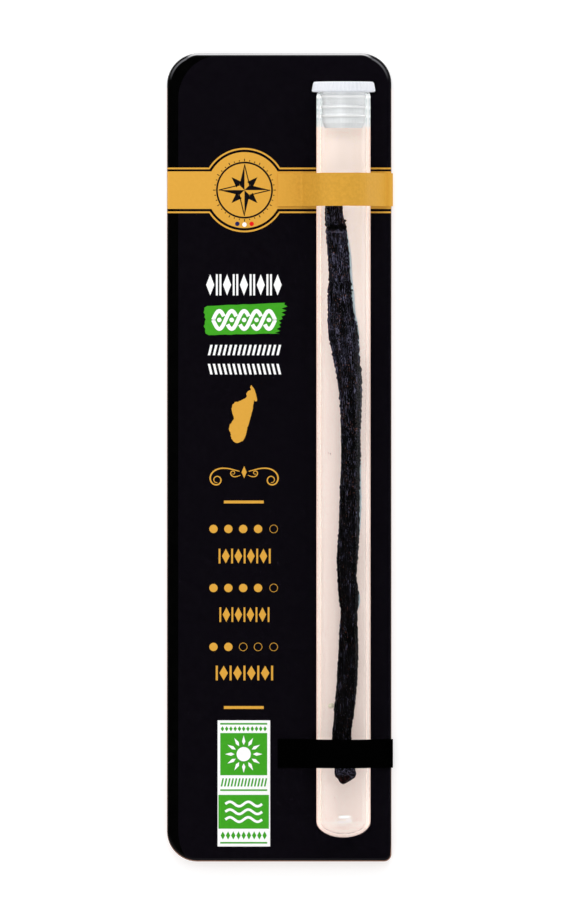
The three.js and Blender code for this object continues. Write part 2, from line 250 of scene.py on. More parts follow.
def feed(shader, socket, output):
    """Feeds one of a shader's sockets from another node's output."""
    shader.id_data.links.new(output, shader.inputs[socket])


def raise_surface(tree, shader, height, depth, strength):
    """Makes a height from 0 to 1 into relief that is depth metres deep."""
    bump = tree.nodes.new("ShaderNodeBump")
    bump.inputs["Distance"].default_value = depth
    bump.inputs["Strength"].default_value = strength
    tree.links.new(height, bump.inputs["Height"])
    feed(shader, "Normal", bump.outputs["Normal"])


# %% [markdown]
# A finish can also depend on the place: these helpers read where a shaded point is on the pack, and make
# a share from 0 to 1 out of it, with a sharp limit or a soft peak.

# %% Helpers for places on the pack
def place_on_pack(tree):
    """The x, y and z of the shaded point in the pack's frame."""
    split = tree.nodes.new("ShaderNodeSeparateXYZ")
    tree.links.new(pack_coordinates(tree), split.inputs[0])
    return split.outputs["X"], split.outputs["Y"], split.outputs["Z"]


def calculate(tree, operation, first, second=0.0):
    """One math node, fed with numbers or other nodes' outputs."""
    node = tree.nodes.new("ShaderNodeMath")
    node.operation = operation
    for socket, value in zip(node.inputs, (first, second)):
        if isinstance(value, (int, float)):
            socket.default_value = value
        else:
            tree.links.new(value, socket)
    return node.outputs[0]


def both(tree, first, second):
    """Two shares multiplied, so that both have to hold."""
    return calculate(tree, "MULTIPLY", first, second)


def other_than(tree, share):
    """What a share leaves of 1."""
    return calculate(tree, "SUBTRACT", 1.0, share)


def less_than(tree, value, limit):
    """1 where a value is below a limit, else 0."""
    return calculate(tree, "LESS_THAN", value, limit)


def between(tree, value, low, high):
    """1 where a value lies between two limits, else 0."""
    return both(tree, calculate(tree, "GREATER_THAN", value, low), less_than(tree, value, high))


def away_from(tree, value, middle):
    """How far a value is from a middle one."""
    return calculate(tree, "ABSOLUTE", calculate(tree, "SUBTRACT", value, middle))


def peak(tree, value, middle, reach, top=1.0):
    """top where a value is at middle, falling to 0 at reach on both sides of it."""
    return remap(tree, away_from(tree, value, middle), 0, reach, top, 0)


# %% [markdown]
# A finish goes on a CAD node in place of the plain one it was packed with. A new piece is a mesh that
# rides on the pack's one body, and wears one of the pack's materials.

# %% Helpers for dressing nodes and adding pieces
def dress(node, material):
    """Gives a CAD node its finish."""
    nodes_of_pack[node].material_slots[0].material = material
    print(node, "wears", material.name)


def new_piece(name, mesh):
    """A new object in the scene, which then has to ride on the pack and wear a material."""
    piece = bpy.data.objects.new(name, mesh)
    bpy.context.scene.collection.objects.link(piece)
    return piece


# %% [markdown]
# ## The cream paper
#
# Behind the clear tube the trough is lined with cream paper, and behind the stopper it is a cooler white.
# The paper is given a painted glow of its own, which keeps it bright even in the shade of the straps.
# Painted shade makes it darker towards the foot and towards the tube's right side, and its soft fibres
# and specks keep it from looking like plastic. The plug's rings throw thin painted bright lines on the
# white, each with a painted shade under it.

# %% The whites behind the plug
# Strengths of the painted glow of the cream paper, on the liner and in the trough
PAINTED_PAPER_GLOW, PAINTED_LINING_GLOW = 0.57, 0.47
COOL_WHITE, COOL_SHADE = (0.70, 0.725, 0.72), (0.50, 0.54, 0.55)
WHITE_ENDS = CARD_TOP - 18.0 * MM
RINGS_BELOW_RIM = (1.0, 3.6, 5.8)
RING_REACH = 0.4 * MM


def draw_rings(tree, y, plain, shade, depth):
    """A colour with a bright line for each ring of the plug, and a thin shade under it."""
    for below in RINGS_BELOW_RIM:
        under_ring = peak(tree, y, TUBE_RIM - (below + 0.7) * MM, RING_REACH, depth)
        plain = blend_colours(tree, under_ring, plain, shade)
        on_ring = peak(tree, y, TUBE_RIM - below * MM, RING_REACH)
        plain = blend_colours(tree, on_ring, plain, WHITE)
    return plain


print("white paper ends", round((CARD_TOP - WHITE_ENDS) / MM, 1), "mm below the card's top")

# %% [markdown]
# Painted shade lies on the cream under the plug, in the tube's dome, low down and beside the pod's top,
# and three painted glints lie in the dome. Each of these is a soft peak at its place on the pack, blended
# over the paper's own colour.

# %% Cream paper for the trough and its liner
# The cream in full light, and its painted shade towards the foot, each with a fibre tone
LIT_CREAM, LIT_FIBRE = (1.0, 0.855, 0.772), (0.985, 0.832, 0.749)
SHADED_CREAM, SHADED_FIBRE = (0.764, 0.638, 0.585), (0.745, 0.617, 0.564)
# Colours of painted shade on the cream
CREAM_SHADE, CREAM_DEEP_SHADE = (0.55, 0.45, 0.40), (0.45, 0.37, 0.34)
CREAM_SPECK, WALL_LIGHT = (0.50, 0.42, 0.38), (1.0, 0.92, 0.84)
DOME = CARD_TOP - 190.0 * MM
# Each glint in the dome: down the card, across from the axis, its reach both ways, and its strength
GLINTS = ((188.3, -0.2, 3.0, 1.4, 0.35), (187.1, 0.3, 1.7, 0.45, 2.0), (187.9, 1.3, 0.9, 0.6, 0.8))


def cream_shades(tree, x, y, from_axis):
    """The shares of shade under the plug, in the dome, low down and beside the pod's top."""
    inside = remap(tree, from_axis, 4.2 * MM, 5.4 * MM, 1.0, 0.0)
    dome_middle = peak(tree, x, TUBE_X - 0.3 * MM, 4.5 * MM)
    towards_sides = remap(tree, from_axis, 1.5 * MM, 4.0 * MM, 0.0, 0.24)
    return (
        both(tree, peak(tree, y, WHITE_ENDS - 1.4 * MM, 2.6 * MM, 0.36), inside),
        both(tree, peak(tree, y, DOME, 3.0 * MM, 0.55), dome_middle),
        peak(tree, y, CARD_TOP - 150 * MM, 32 * MM, 0.24),
        both(tree, towards_sides, remap(tree, y, 30 * MM, 70 * MM, 0.0, 1.0)),
    )


def cream_colour(tree, x, y):
    """The colour of the cream paper at a place behind the tube, with its painted shade, light and glints."""
    fibre = uneven(tree, 0.5 * MM, 0, 1, 4.0, (1, 0.35, 1))
    cream_in_light = blend_colours(tree, fibre, LIT_CREAM, LIT_FIBRE)
    cream_in_shade = blend_colours(tree, fibre, SHADED_CREAM, SHADED_FIBRE)
    # Painted shade: the cream darkens from the top towards the foot
    cream = blend_colours(tree, remap(tree, y, 68 * MM, 10 * MM, 0.0, 1.0), cream_in_light, cream_in_shade)
    # Painted shade: darker towards the tube's right side
    to_the_right = remap(tree, x, TUBE_X - TUBE_RADIUS, TUBE_X + TUBE_RADIUS, 0.0, 0.21)
    cream = blend_colours(tree, to_the_right, cream, CREAM_DEEP_SHADE)
    specks = remap(tree, grain(tree, 0.3 * MM, 2.0), 0.56, 0.70, 0.0, 0.28)
    cream = blend_colours(tree, specks, cream, CREAM_SPECK)
    from_axis = away_from(tree, x, TUBE_X)
    for shade in cream_shades(tree, x, y, from_axis):
        cream = blend_colours(tree, shade, cream, CREAM_SHADE)
    towards_foot = remap(tree, y, 40 * MM, -40 * MM, 0.06, 0.30)
    by_the_wall = both(tree, remap(tree, from_axis, 5.0 * MM, 5.8 * MM, 0.0, 1.0), towards_foot)
    cream = blend_colours(tree, by_the_wall, cream, WALL_LIGHT)
    for down, across, wide, tall, top in GLINTS:
        glint = peak(tree, x, TUBE_X + across * MM, wide * MM, top)
        glint = both(tree, glint, peak(tree, y, CARD_TOP - down * MM, tall * MM))
        cream = blend_colours(tree, glint, cream, WHITE)
    behind_plug = draw_rings(tree, y, COOL_WHITE, COOL_SHADE, 0.35)
    return blend_colours(tree, calculate(tree, "GREATER_THAN", y, WHITE_ENDS), cream, behind_plug)


print("glints in the dome:", len(GLINTS))

# %% [markdown]
# ## The card
#
# The card is a black printed carton. Its left margin is a deeper black than the rest of its face, and
# the line between the two follows the card's corners. All of this is read from the place on the card, so
# one material serves the whole solid. The margin's line turns each corner along a quarter of an oval,
# and a point is inside it where the squares of its two distances add up to less than 1.

# %% The margin and the painted highlight on the top fold
DEEP_BLACK = (0.0003, 0.0003, 0.0003)
FACE_BLACK = (0.0034, 0.0026, 0.0046)
# Painted highlight along the card's top fold, white in the middle and grey in the corners
FOLD_HIGHLIGHT, CORNER_HIGHLIGHT = (0.55, 0.55, 0.56), (0.12, 0.12, 0.13)
TOP_CORNER = 7.55 * MM
MARGIN = 2.77 * MM
MARGIN_FROM_TOP, MARGIN_FROM_FOOT = 0.6 * MM, 3.3 * MM
CORNER_WIDE, CORNER_TALL = 9.8 * MM, 10.6 * MM


def past(tree, value, limit):
    """How far a value is past a limit, or 0."""
    return calculate(tree, "MAXIMUM", calculate(tree, "SUBTRACT", value, limit), 0.0)


def square(tree, value, unit):
    """The square of a value, measured in units."""
    return calculate(tree, "POWER", calculate(tree, "DIVIDE", value, unit), 2.0)


def margin_share(tree, x, y):
    """1 on the face right of the margin's line and 0 left of it, with the line rounded at the corners."""
    corner_x = CARD_LEFT + MARGIN + CORNER_WIDE
    top_y = CARD_TOP - MARGIN_FROM_TOP - CORNER_TALL
    foot_y = CARD_BOTTOM - MARGIN_FROM_FOOT + CORNER_TALL
    left_of = calculate(tree, "MAXIMUM", calculate(tree, "SUBTRACT", corner_x, x), 0.0)
    past_foot = calculate(tree, "SUBTRACT", foot_y, y)
    past_end = calculate(tree, "MAXIMUM", past(tree, y, top_y), past_foot)
    squares = calculate(tree, "ADD", square(tree, left_of, CORNER_WIDE), square(tree, past_end, CORNER_TALL))
    return less_than(tree, squares, 1.0)


def fold_highlight(tree, x, y, z, printed):
    """The card's colour with a painted highlight along its top fold, which fades in the corners."""
    middle = (CARD_LEFT + CARD_RIGHT) / 2
    past_side = past(tree, away_from(tree, x, middle), CARD_RIGHT - middle - TOP_CORNER)
    past_top = past(tree, y, CARD_TOP - TOP_CORNER)
    squares = calculate(tree, "ADD", both(tree, past_side, past_side), both(tree, past_top, past_top))
    reach = calculate(tree, "SQRT", squares)
    towards_top = calculate(tree, "DIVIDE", past_top, calculate(tree, "MAXIMUM", reach, 0.01 * MM))
    inset = calculate(tree, "SUBTRACT", TOP_CORNER, reach)
    line_at = remap(tree, towards_top, 0.9, 1.0, 0.75 * MM, 0.20 * MM)
    on_line = remap(tree, away_from(tree, inset, line_at), 0.10 * MM, 0.30 * MM, 1.0, 0.0)
    on_line = both(tree, on_line, remap(tree, towards_top, 0.15, 0.75, 0.0, 1.0))
    on_line = both(tree, on_line, remap(tree, z, FACE - 0.7 * MM, FACE - 0.5 * MM, 0.0, 1.0))
    highlight_strength = remap(tree, towards_top, 0.93, 0.995, 0.0, 1.0)
    line_colour = blend_colours(tree, highlight_strength, CORNER_HIGHLIGHT, FOLD_HIGHLIGHT)
    return blend_colours(tree, on_line, printed, line_colour)


# %% [markdown]
# Where the board is cut, at the foot and the sides, a thin line of raw brown board shows. The trough
# under the tube is lined with the cream paper.

# %% Black board with a raw edge
RAW_BOARD, RAW_FIBRE = (0.36, 0.20, 0.14), (0.2, 0.1, 0.07)
TROUGH_HALF, HOLLOW_HALF = 6.7 * MM, 8.6 * MM
HOLLOW_TOP, HOLLOW_FOOT = CARD_TOP - 3 * MM, CARD_BOTTOM + 3 * MM
LINING_TOP = CARD_TOP - 10.3 * MM
CUT_EDGE_TOP = CARD_TOP - 8.5 * MM
black_board, tree, shader = new_material("black_board")
x, y, z = place_on_pack(tree)
printed = blend_colours(tree, margin_share(tree, x, y), DEEP_BLACK, FACE_BLACK)
printed = blend_colours(tree, uneven(tree, 1.2 * MM, 0.0, 0.25), printed, DEEP_BLACK)
# Painted highlight along the top fold
printed = fold_highlight(tree, x, y, z, printed)
from_tube = away_from(tree, x, TUBE_X)
in_hollow = both(tree, less_than(tree, from_tube, HOLLOW_HALF), between(tree, y, HOLLOW_FOOT, HOLLOW_TOP))
near_foot = (CARD_BOTTOM + 2 * MM, CARD_BOTTOM + 5 * MM)
cut_starts = remap(tree, y, *near_foot, FACE - 0.26 * MM, FACE - 0.44 * MM)
cut_edge = both(tree, less_than(tree, z, cut_starts), less_than(tree, y, CUT_EDGE_TOP))
cut_edge = both(tree, cut_edge, other_than(tree, in_hollow))
fibres = blend_colours(tree, grain(tree, 0.25 * MM), RAW_BOARD, RAW_FIBRE)
board_colour = blend_colours(tree, cut_edge, printed, fibres)
under_tube = both(tree, less_than(tree, from_tube, TROUGH_HALF), between(tree, y, HOLLOW_FOOT, LINING_TOP))
lined = both(tree, under_tube, between(tree, z, 0.2 * MM, FACE - 0.05 * MM))
lining = cream_colour(tree, x, y)
feed(shader, "Base Color", blend_colours(tree, lined, board_colour, lining))
# Painted glow: the trough's cream lining gives light of its own
feed(shader, "Emission Color", blend_colours(tree, lined, (0, 0, 0), lining))
shader.inputs["Emission Strength"].default_value = PAINTED_LINING_GLOW
feed(shader, "Roughness", uneven(tree, 2.5 * MM, 0.16, 0.22))
shader.inputs["Specular IOR Level"].default_value = 0.08
raise_surface(tree, shader, grain(tree, 0.3 * MM, 4.0), 0.006 * MM, 0.6)
dress("card", black_board)

# %% [markdown]
# ## Ink on the card
#
# Print could be painted by an image, but an image blurs when the camera comes close. Here each colour
# of ink is one thin mesh that floats a hundredth of a millimetre over the board, cut to crisp outlines.
# A few small helpers make outlines: a box, a round, a lozenge, a ribbon along a path, and an arc.

# %% Outlines in card coordinates
def on_card(across, down):
    """A point on the card's face, so many millimetres across and down from its top left corner."""
    return (CARD_LEFT + across * MM, CARD_TOP - down * MM)


def box_outline(left, right, top, bottom):
    return [(left, bottom), (right, bottom), (right, top), (left, top)]


def lozenge(across, down, width, height):
    left, right = across - width / 2, across + width / 2
    return [(left, down), (across, down + height / 2), (right, down), (across, down - height / 2)]


def round_outline(across, down, radius, steps=64):
    turns = [2 * math.pi * i / steps for i in range(steps)]
    return [(across + radius * math.cos(t), down - radius * math.sin(t)) for t in turns]


def ribbon_outlines(path, widths):
    """Four-sided pieces along a path of points, each as wide as the path is there."""
    points = np.array(path, float)
    if np.isscalar(widths):
        widths = [widths] * len(points)
    along = np.gradient(points, axis=0)
    along /= np.linalg.norm(along, axis=1)[:, None]
    aside = np.stack([along[:, 1], -along[:, 0]], axis=1)
    half = np.array(widths, float)[:, None] / 2
    left, right = points + aside * half, points - aside * half
    pieces = zip(right[:-1], right[1:], left[1:], left[:-1])
    return [[tuple(corner) for corner in piece] for piece in pieces]


def arc_path(across, down, radius, start, end, steps=40):
    """Points of an arc, its angles in degrees, counted anticlockwise from the right."""
    angles = np.radians(np.linspace(start, end, steps + 1))
    return [(across + radius * math.cos(a), down - radius * math.sin(a)) for a in angles]


# %% [markdown]
# The card's edges are rounded, so the ink's height follows the board there. An outline's corners are
# laid at that height, and every face is turned up.

# %% Print a colour of ink
EDGE_ROUND = 0.8
CARD_WIDTH = (CARD_RIGHT - CARD_LEFT) / MM


def board_height(across):
    """The height of the card's surface, which curves down near its left and right edges."""
    inward = min(across, CARD_WIDTH - across, EDGE_ROUND)
    return FACE - EDGE_ROUND * MM + math.sqrt(EDGE_ROUND**2 - (EDGE_ROUND - inward) ** 2) * MM


def print_ink(name, outlines, material, lift):
    """One mesh of flat faces over the card, lift metres above its face, facing up."""
    mesh = bmesh.new()
    for outline in outlines:
        corners = [mesh.verts.new((*on_card(a, d), board_height(a) + lift)) for a, d in outline]
        mesh.faces.new(corners)
    mesh.normal_update()
    bmesh.ops.reverse_faces(mesh, faces=[f for f in mesh.faces if f.normal.z < 0])
    data = bpy.data.meshes.new(name)
    mesh.to_mesh(data)
    mesh.free()
    data.materials.append(material)
    ink = new_piece(name, data)
    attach(ink, "root")
    print(name, len(data.polygons), "shapes")


# %% [markdown]
# Ink is nearly even, but it takes the board's grain and pools a little, so each ink has two close tones.

# %% Mix the inks
def ink_finish(name, colour, second, roughness=0.42):
    """Printing ink: even, with a slight unevenness and the board's grain."""
    material, tree, shader = new_material(name)
    patches = remap(tree, grain(tree, 0.8 * MM), 0.35, 0.65, 0.0, 1.0)
    feed(shader, "Base Color", blend_colours(tree, patches, colour, second))
    feed(shader, "Roughness", uneven(tree, 1.5 * MM, roughness - 0.04, roughness + 0.04))
    shader.inputs["Specular IOR Level"].default_value = 0.12
    raise_surface(tree, shader, grain(tree, 0.3 * MM, 4.0), 0.006 * MM, 0.5)
    return material


INK_LIFT = 0.010 * MM
OVER_LIFT = 0.020 * MM
TOP_LIFT = 0.028 * MM
PRINTED_GOLD = (0.680, 0.349, 0.0455)
gold_ink = ink_finish("gold_ink", PRINTED_GOLD, (0.698, 0.360, 0.049))
white_ink = ink_finish("white_ink", (0.93, 0.93, 0.93), (0.96, 0.96, 0.96))
green_ink = ink_finish("green_ink", (0.046, 0.345, 0.014), (0.051, 0.362, 0.016))
navy_ink = ink_finish("navy_ink", (0.006, 0.012, 0.090), (0.008, 0.014, 0.100))
red_ink = ink_finish("red_ink", (0.72, 0.006, 0.008), (0.75, 0.008, 0.010))
dark_ink = ink_finish("dark_ink", (0.0030, 0.0022, 0.0040), (0.0036, 0.0027, 0.0046), 0.3)
print("inks:", ", ".join(m.name for m in bpy.data.materials if m.name.endswith("_ink")))

# %% [markdown]
# ## The gold band and its disc
#
# A gold band crosses the card and swells into a disc, with a thin gold line drawn all along it at a
# constant distance. Band and disc are one outline, so that no two faces lie in each other. At the card's
# left and right edges the print runs over the rounded board, in narrow strips bent down along its curve.
# The band stops at the trough on both sides of the tube.

# %% The disc's arc and the strips over the edges
BAND_TOP, BAND_BOTTOM = 28.9, 38.1
DISC = (18.99, 33.49)
DISC_RADIUS, LINE_RADIUS = 9.31, 10.12
LINE_WIDTH = 0.42
UPPER_LINE, LOWER_LINE = 28.18, 38.92
TROUGH_LEFT = (TUBE_X - TUBE_RADIUS - CARD_LEFT) / MM - 0.12
TROUGH_RIGHT = (TUBE_X + TUBE_RADIUS - CARD_LEFT) / MM + 0.12
BAND_END = CARD_WIDTH - EDGE_ROUND


def swelling(radius, line, above):
    """The arc round the disc that rises from a straight line above it, or below, left to right."""
    rise = DISC[1] - line if above else line - DISC[1]
    angle = math.degrees(math.asin(rise / radius))
    if above:
        return arc_path(*DISC, radius, 180 - angle, angle)
    return arc_path(*DISC, radius, angle - 180, -angle)


def over_edges(top, bottom):
    """Narrow strips that carry print over the card's rounded edges."""
    steps = np.linspace(0.1, EDGE_ROUND, 7)
    strips = list(zip(steps[:-1], steps[1:]))
    left = [box_outline(outer, inner, top, bottom) for outer, inner in strips]
    right = [box_outline(CARD_WIDTH - inner, CARD_WIDTH - outer, top, bottom) for outer, inner in strips]
    return left + right


print("disc", 2 * DISC_RADIUS, "mm wide on a band", round(BAND_BOTTOM - BAND_TOP, 1), "mm tall")

# %% [markdown]
# The band's outline runs along its upper side with the arc over the disc, and back along its lower side
# with the arc under it. The gold line takes the same two ways a little farther out.

# %% Print the gold band, the disc and their line
upper_swell = swelling(DISC_RADIUS, BAND_TOP, True)
lower_swell = swelling(DISC_RADIUS, BAND_BOTTOM, False)
band = [(EDGE_ROUND, BAND_TOP), *upper_swell, (TROUGH_LEFT, BAND_TOP)]
band += [(TROUGH_LEFT, BAND_BOTTOM), *lower_swell[::-1], (EDGE_ROUND, BAND_BOTTOM)]
gold_shapes = [band, box_outline(TROUGH_RIGHT, BAND_END, BAND_TOP, BAND_BOTTOM)]
gold_shapes += over_edges(BAND_TOP, BAND_BOTTOM)
for line, above in ((UPPER_LINE, True), (LOWER_LINE, False)):
    swell = swelling(LINE_RADIUS, line, above)
    path = [(EDGE_ROUND, line), (8.9, line), *swell, (29.1, line), (TROUGH_LEFT, line)]
    gold_shapes += ribbon_outlines(path, LINE_WIDTH)
    low, high = line - LINE_WIDTH / 2, line + LINE_WIDTH / 2
    gold_shapes.append(box_outline(TROUGH_RIGHT, BAND_END, low, high))
    gold_shapes += over_edges(low, high)
print_ink("gold_band", gold_shapes, gold_ink, INK_LIFT)

# %% [markdown]
# ## The ornament in the disc
#
# The disc holds an ornament in dark ink: a dial with a star like the one on an old compass. One half of
# each of its long points is inked and the other half outlined, and short points stand between them.
# Three dots of other inks sit under the dial. A star is easy to draw from its angles: each half point is
# a triangle from the middle to the tip and to a notch.

# %% Draw the star, the ring and the dots
LONG_POINT, SHORT_POINT = 6.3, 4.5
LONG_NOTCH, SHORT_NOTCH = 1.75, 2.1
DIAL = 6.75
DOT_ORBIT, SMALL_DOT = 8.45, 0.55


def on_dial(angle, radius):
    """A point in the disc, at so many degrees anticlockwise from the right and so far from its middle."""
    turn = math.radians(angle)
    return (DISC[0] + radius * math.cos(turn), DISC[1] - radius * math.sin(turn))


dark_shapes = []
for tip in (0, 90, 180, 270):
    dark_shapes.append([DISC, on_dial(tip, LONG_POINT), on_dial(tip + 45, LONG_NOTCH)])
    open_half = [on_dial(tip, LONG_POINT), on_dial(tip - 45, LONG_NOTCH)]
    dark_shapes += ribbon_outlines(open_half, 0.26)
for tip in (45, 135, 225, 315):
    left_notch, right_notch = on_dial(tip - 27, SHORT_NOTCH), on_dial(tip + 27, SHORT_NOTCH)
    dark_shapes.append([left_notch, on_dial(tip, SHORT_POINT), right_notch, on_dial(tip, LONG_NOTCH + 0.15)])
dark_shapes += ribbon_outlines(arc_path(*DISC, DIAL, 0, 360, 120), 0.42)
for tick in range(0, 360, 10):
    tick_end = DIAL + (0.95 if tick % 30 == 0 else 0.7)
    dark_shapes += ribbon_outlines([on_dial(tick, DIAL + 0.33), on_dial(tick, tick_end)], 0.2)
print_ink("disc_ornament", dark_shapes, dark_ink, OVER_LIFT)
SMALL_DOTS = (("navy_dot", 258, navy_ink), ("white_dot", 270, white_ink), ("red_dot", 282, red_ink))
for name, angle, ink in SMALL_DOTS:
    print_ink(name, [round_outline(*on_dial(angle, DOT_ORBIT), SMALL_DOT, 32)], ink, OVER_LIFT)

# %% [markdown]
# ## Rows of ornament
#
# Under the band stand rows of plain ornament, strong and light by turns: lozenges with bars between
# them, and slanting bars. A small table gives each mark's width and its outlines in a box one unit
# high, and a row of marks is stretched to fit its place.

# %% Rows of lozenges and bars
MARKS = {
    "lozenge": (1.0, [[(0.5, 0), (1, 0.5), (0.5, 1), (0, 0.5)]]),
    "bar": (0.24, [[(0, 0), (0.24, 0), (0.24, 1), (0, 1)]]),
    "slant": (0.42, [[(0.32, 0), (0.62, 0), (0.30, 1), (0, 1)]]),
    "backslant": (0.42, [[(0, 0), (0.30, 0), (0.62, 1), (0.32, 1)]]),
}
MARK_GAP = 0.2


def mark_row(marks, left, right, top, bottom):
    """The named marks side by side, fitted between left and right, top and bottom."""
    names = marks.split()
    unit = (right - left) / (sum(MARKS[name][0] + MARK_GAP for name in names) - MARK_GAP)
    outlines, start = [], left
    for name in names:
        for outline in MARKS[name][1]:
            outlines.append([(start + a * unit, top + d * (bottom - top)) for a, d in outline])
        start += (MARKS[name][0] + MARK_GAP) * unit
    return outlines


white_shapes = mark_row("lozenge" + " bar bar lozenge" * 4, 9.6, 28.1, 54.1, 59.3)
white_shapes += mark_row("slant " * 15, 10.0, 27.6, 71.4, 73.95)
white_shapes += mark_row("backslant " * 15, 10.0, 27.6, 76.05, 78.65)
print_ink("white_rows", white_shapes, white_ink, INK_LIFT)

# %% [markdown]
# Between the white rows is a green patch, as if painted with a broad brush: its upper and lower sides are
# nearly straight, its left end is worn and its right end is frayed. Seeded random numbers shift the
# points of its outline a little.

# %% Brush the green patch
rng = np.random.default_rng(7)
patch_outline = []
for across in np.linspace(9.9, 28.9, 14):
    patch_outline.append((across, 61.85 - 0.04 * (across - 9.9) + rng.uniform(-0.06, 0.06)))
for k in range(15):
    fray = 0.45 if k % 2 else -0.75
    patch_outline.append((29.3 - 0.16 * k + fray * rng.uniform(0.3, 1.2), 61.5 + 0.5 * k))
for across in np.linspace(27.6, 10.2, 14):
    patch_outline.append((across, 69.0 - 0.02 * (across - 10.2) + rng.uniform(-0.07, 0.07)))
for down in np.linspace(68.6, 62.3, 12):
    patch_outline.append((9.2 + rng.uniform(-0.25, 0.35), down))
print_ink("green_patch", [patch_outline], green_ink, INK_LIFT)

# %% [markdown]
# On the patch is a white plait of two strands, an old border pattern. Each strand is a wave, and it is
# cut where it goes under the other. A round dot fills each of the plait's eyes.

# %% Plait the white strands
PLAIT_LEFT, PLAIT_RIGHT, PLAIT_DOWN = 11.3, 26.5, 65.3
PLAIT_HEIGHT, STRAND, EYE_DOT = 4.4, 0.95, 0.55
EYES = 5
UNDER_REACH = 0.46


def plait():
    """Two waves that weave over and under each other, as outlines."""
    outlines = []
    phase = np.linspace(0, math.pi * EYES, 30 * EYES + 1)
    across = PLAIT_LEFT + (PLAIT_RIGHT - PLAIT_LEFT) * phase / phase[-1]
    for side in (1, -1):
        wave = PLAIT_DOWN - side * PLAIT_HEIGHT / 2 * np.sin(phase)
        pieces = ribbon_outlines(np.stack([across, wave], axis=1), STRAND)
        for piece, turn in zip(pieces, phase):
            crossing = round(turn / math.pi)
            goes_under = crossing % 2 == (side == 1) and 0 < crossing < EYES
            if not goes_under or abs(turn - crossing * math.pi) > UNDER_REACH:
                outlines.append(piece)
    return outlines


patch_shapes = plait()
for k in range(EYES):
    eye = PLAIT_LEFT + (PLAIT_RIGHT - PLAIT_LEFT) * (k + 0.5) / EYES
    patch_shapes.append(round_outline(eye, PLAIT_DOWN, EYE_DOT, 24))
print_ink("patch_plait", patch_shapes, white_ink, OVER_LIFT)

# %% [markdown]
# ## Gold print under the band
#
# Below the white rows come an island's silhouette, a scrolled divider, two short rules, and three rows
# of five dots that rate a taste: a full dot counts, and an empty ring doesn't. The island is a smooth
# shape through a few points, ruffled a little like a coast. A scroll is a ribbon along a path whose
# direction turns faster and faster, and each one is drawn twice, the second time mirrored.

# %% Draw the island and the scrolled divider
ISLAND = [
    (20.85, 81.4), (21.7, 83.0), (22.1, 84.7), (21.7, 85.3), (21.35, 84.95), (21.2, 85.8),
    (20.95, 87.4), (20.15, 90.2), (19.6, 92.1), (18.95, 94.5), (17.2, 95.4), (16.1, 94.9),
    (15.6, 93.8), (15.6, 93.0), (15.15, 91.9), (15.6, 90.7), (16.4, 89.3), (15.95, 87.9),
    (15.85, 86.85), (16.4, 85.65), (17.55, 85.25), (18.6, 84.75), (19.45, 84.15), (19.6, 83.0),
    (20.5, 82.45), (20.4, 81.75),
]
DIVIDER = np.array((18.9, 102.6))
SCROLL_POINTS = 90


def smooth_ring(points, steps):
    """A closed outline through the points, rounded by a spline."""
    ring = np.array(points, float)
    before, after, further = np.roll(ring, 1, 0), np.roll(ring, -1, 0), np.roll(ring, -2, 0)
    pieces = []
    for t in np.arange(steps) / steps:
        bend = (2 * before - 5 * ring + 4 * after - further) * t**2
        turn = (3 * ring - before - 3 * after + further) * t**3
        pieces.append(0.5 * (2 * ring + (after - before) * t + bend + turn))
    return np.stack(pieces, axis=1).reshape(-1, 2)


def scroll(start, heading, turn, length, hurry):
    """Points of a curl: it sets out at heading degrees and has turned by turn degrees at its end."""
    share = np.linspace(0, 1, SCROLL_POINTS)
    angle = np.radians(heading + turn * share**hurry)
    steps = np.stack([np.cos(angle), -np.sin(angle)], axis=1)
    return np.array(start) + np.cumsum(steps, axis=0) * length / SCROLL_POINTS


coast = smooth_ring(ISLAND, 4)
coast = coast + rng.uniform(-0.09, 0.09, coast.shape)
gold_details = [[tuple(point) for point in coast]]
large_scroll = scroll((0.95, -0.15), 16, -560, 17.0, 2.5)
small_scroll = scroll((0.85, 0.7), -24, 430, 5.4, 2.2)
swell = 0.35 + 0.65 * np.sin(math.pi * np.linspace(0.1, 0.95, SCROLL_POINTS))
for side in (1, -1):
    for path, weight in ((large_scroll, 0.36), (small_scroll, 0.26)):
        gold_details += ribbon_outlines(DIVIDER + path * (side, 1), weight * swell)
gold_details.append(lozenge(*DIVIDER, 1.25, 3.0))
print("island of", len(coast), "points")

# %% [markdown]
# The dots of a taste row are evenly spaced, and under each row stands a short row of bars and lozenges.

# %% Print the island, the divider, the rules and the dots
RULE_LEFT, RULE_RIGHT, RULE_HEIGHT = 13.95, 23.7, 0.7
DOTS_ACROSS = (11.39, 15.04, 18.67, 22.32, 26.14)
DOT = 1.02
RING_LINE = 0.12
for rule in (109.55, 159.9):
    gold_details.append(box_outline(RULE_LEFT, RULE_RIGHT, rule, rule + RULE_HEIGHT))
ring_shapes = []
for down, full in ((116.5, 4), (130.97, 4), (145.4, 2)):
    for count, across in enumerate(DOTS_ACROSS):
        if count < full:
            gold_details.append(round_outline(across, down, DOT, 40))
        else:
            ring_path = arc_path(across, down, DOT - RING_LINE / 2, 0, 360, 36)
            ring_shapes += ribbon_outlines(ring_path, RING_LINE)
for top, left, right in ((121.35, 12.65, 25.4), (135.7, 12.85, 25.1), (150.0, 11.95, 26.0)):
    gold_details += mark_row("bar lozenge " * 4 + "bar", left, right, top, top + 3.6)
print_ink("gold_print", gold_details, gold_ink, INK_LIFT)
print_ink("empty_rings", ring_shapes, gold_ink, INK_LIFT)

# %% [markdown]
# ## The white label
#
# At the foot of the print is a white label with two green fields, thin green rules, and rows of the same
# lozenges and slanting bars. The green lies a little over the white ground.

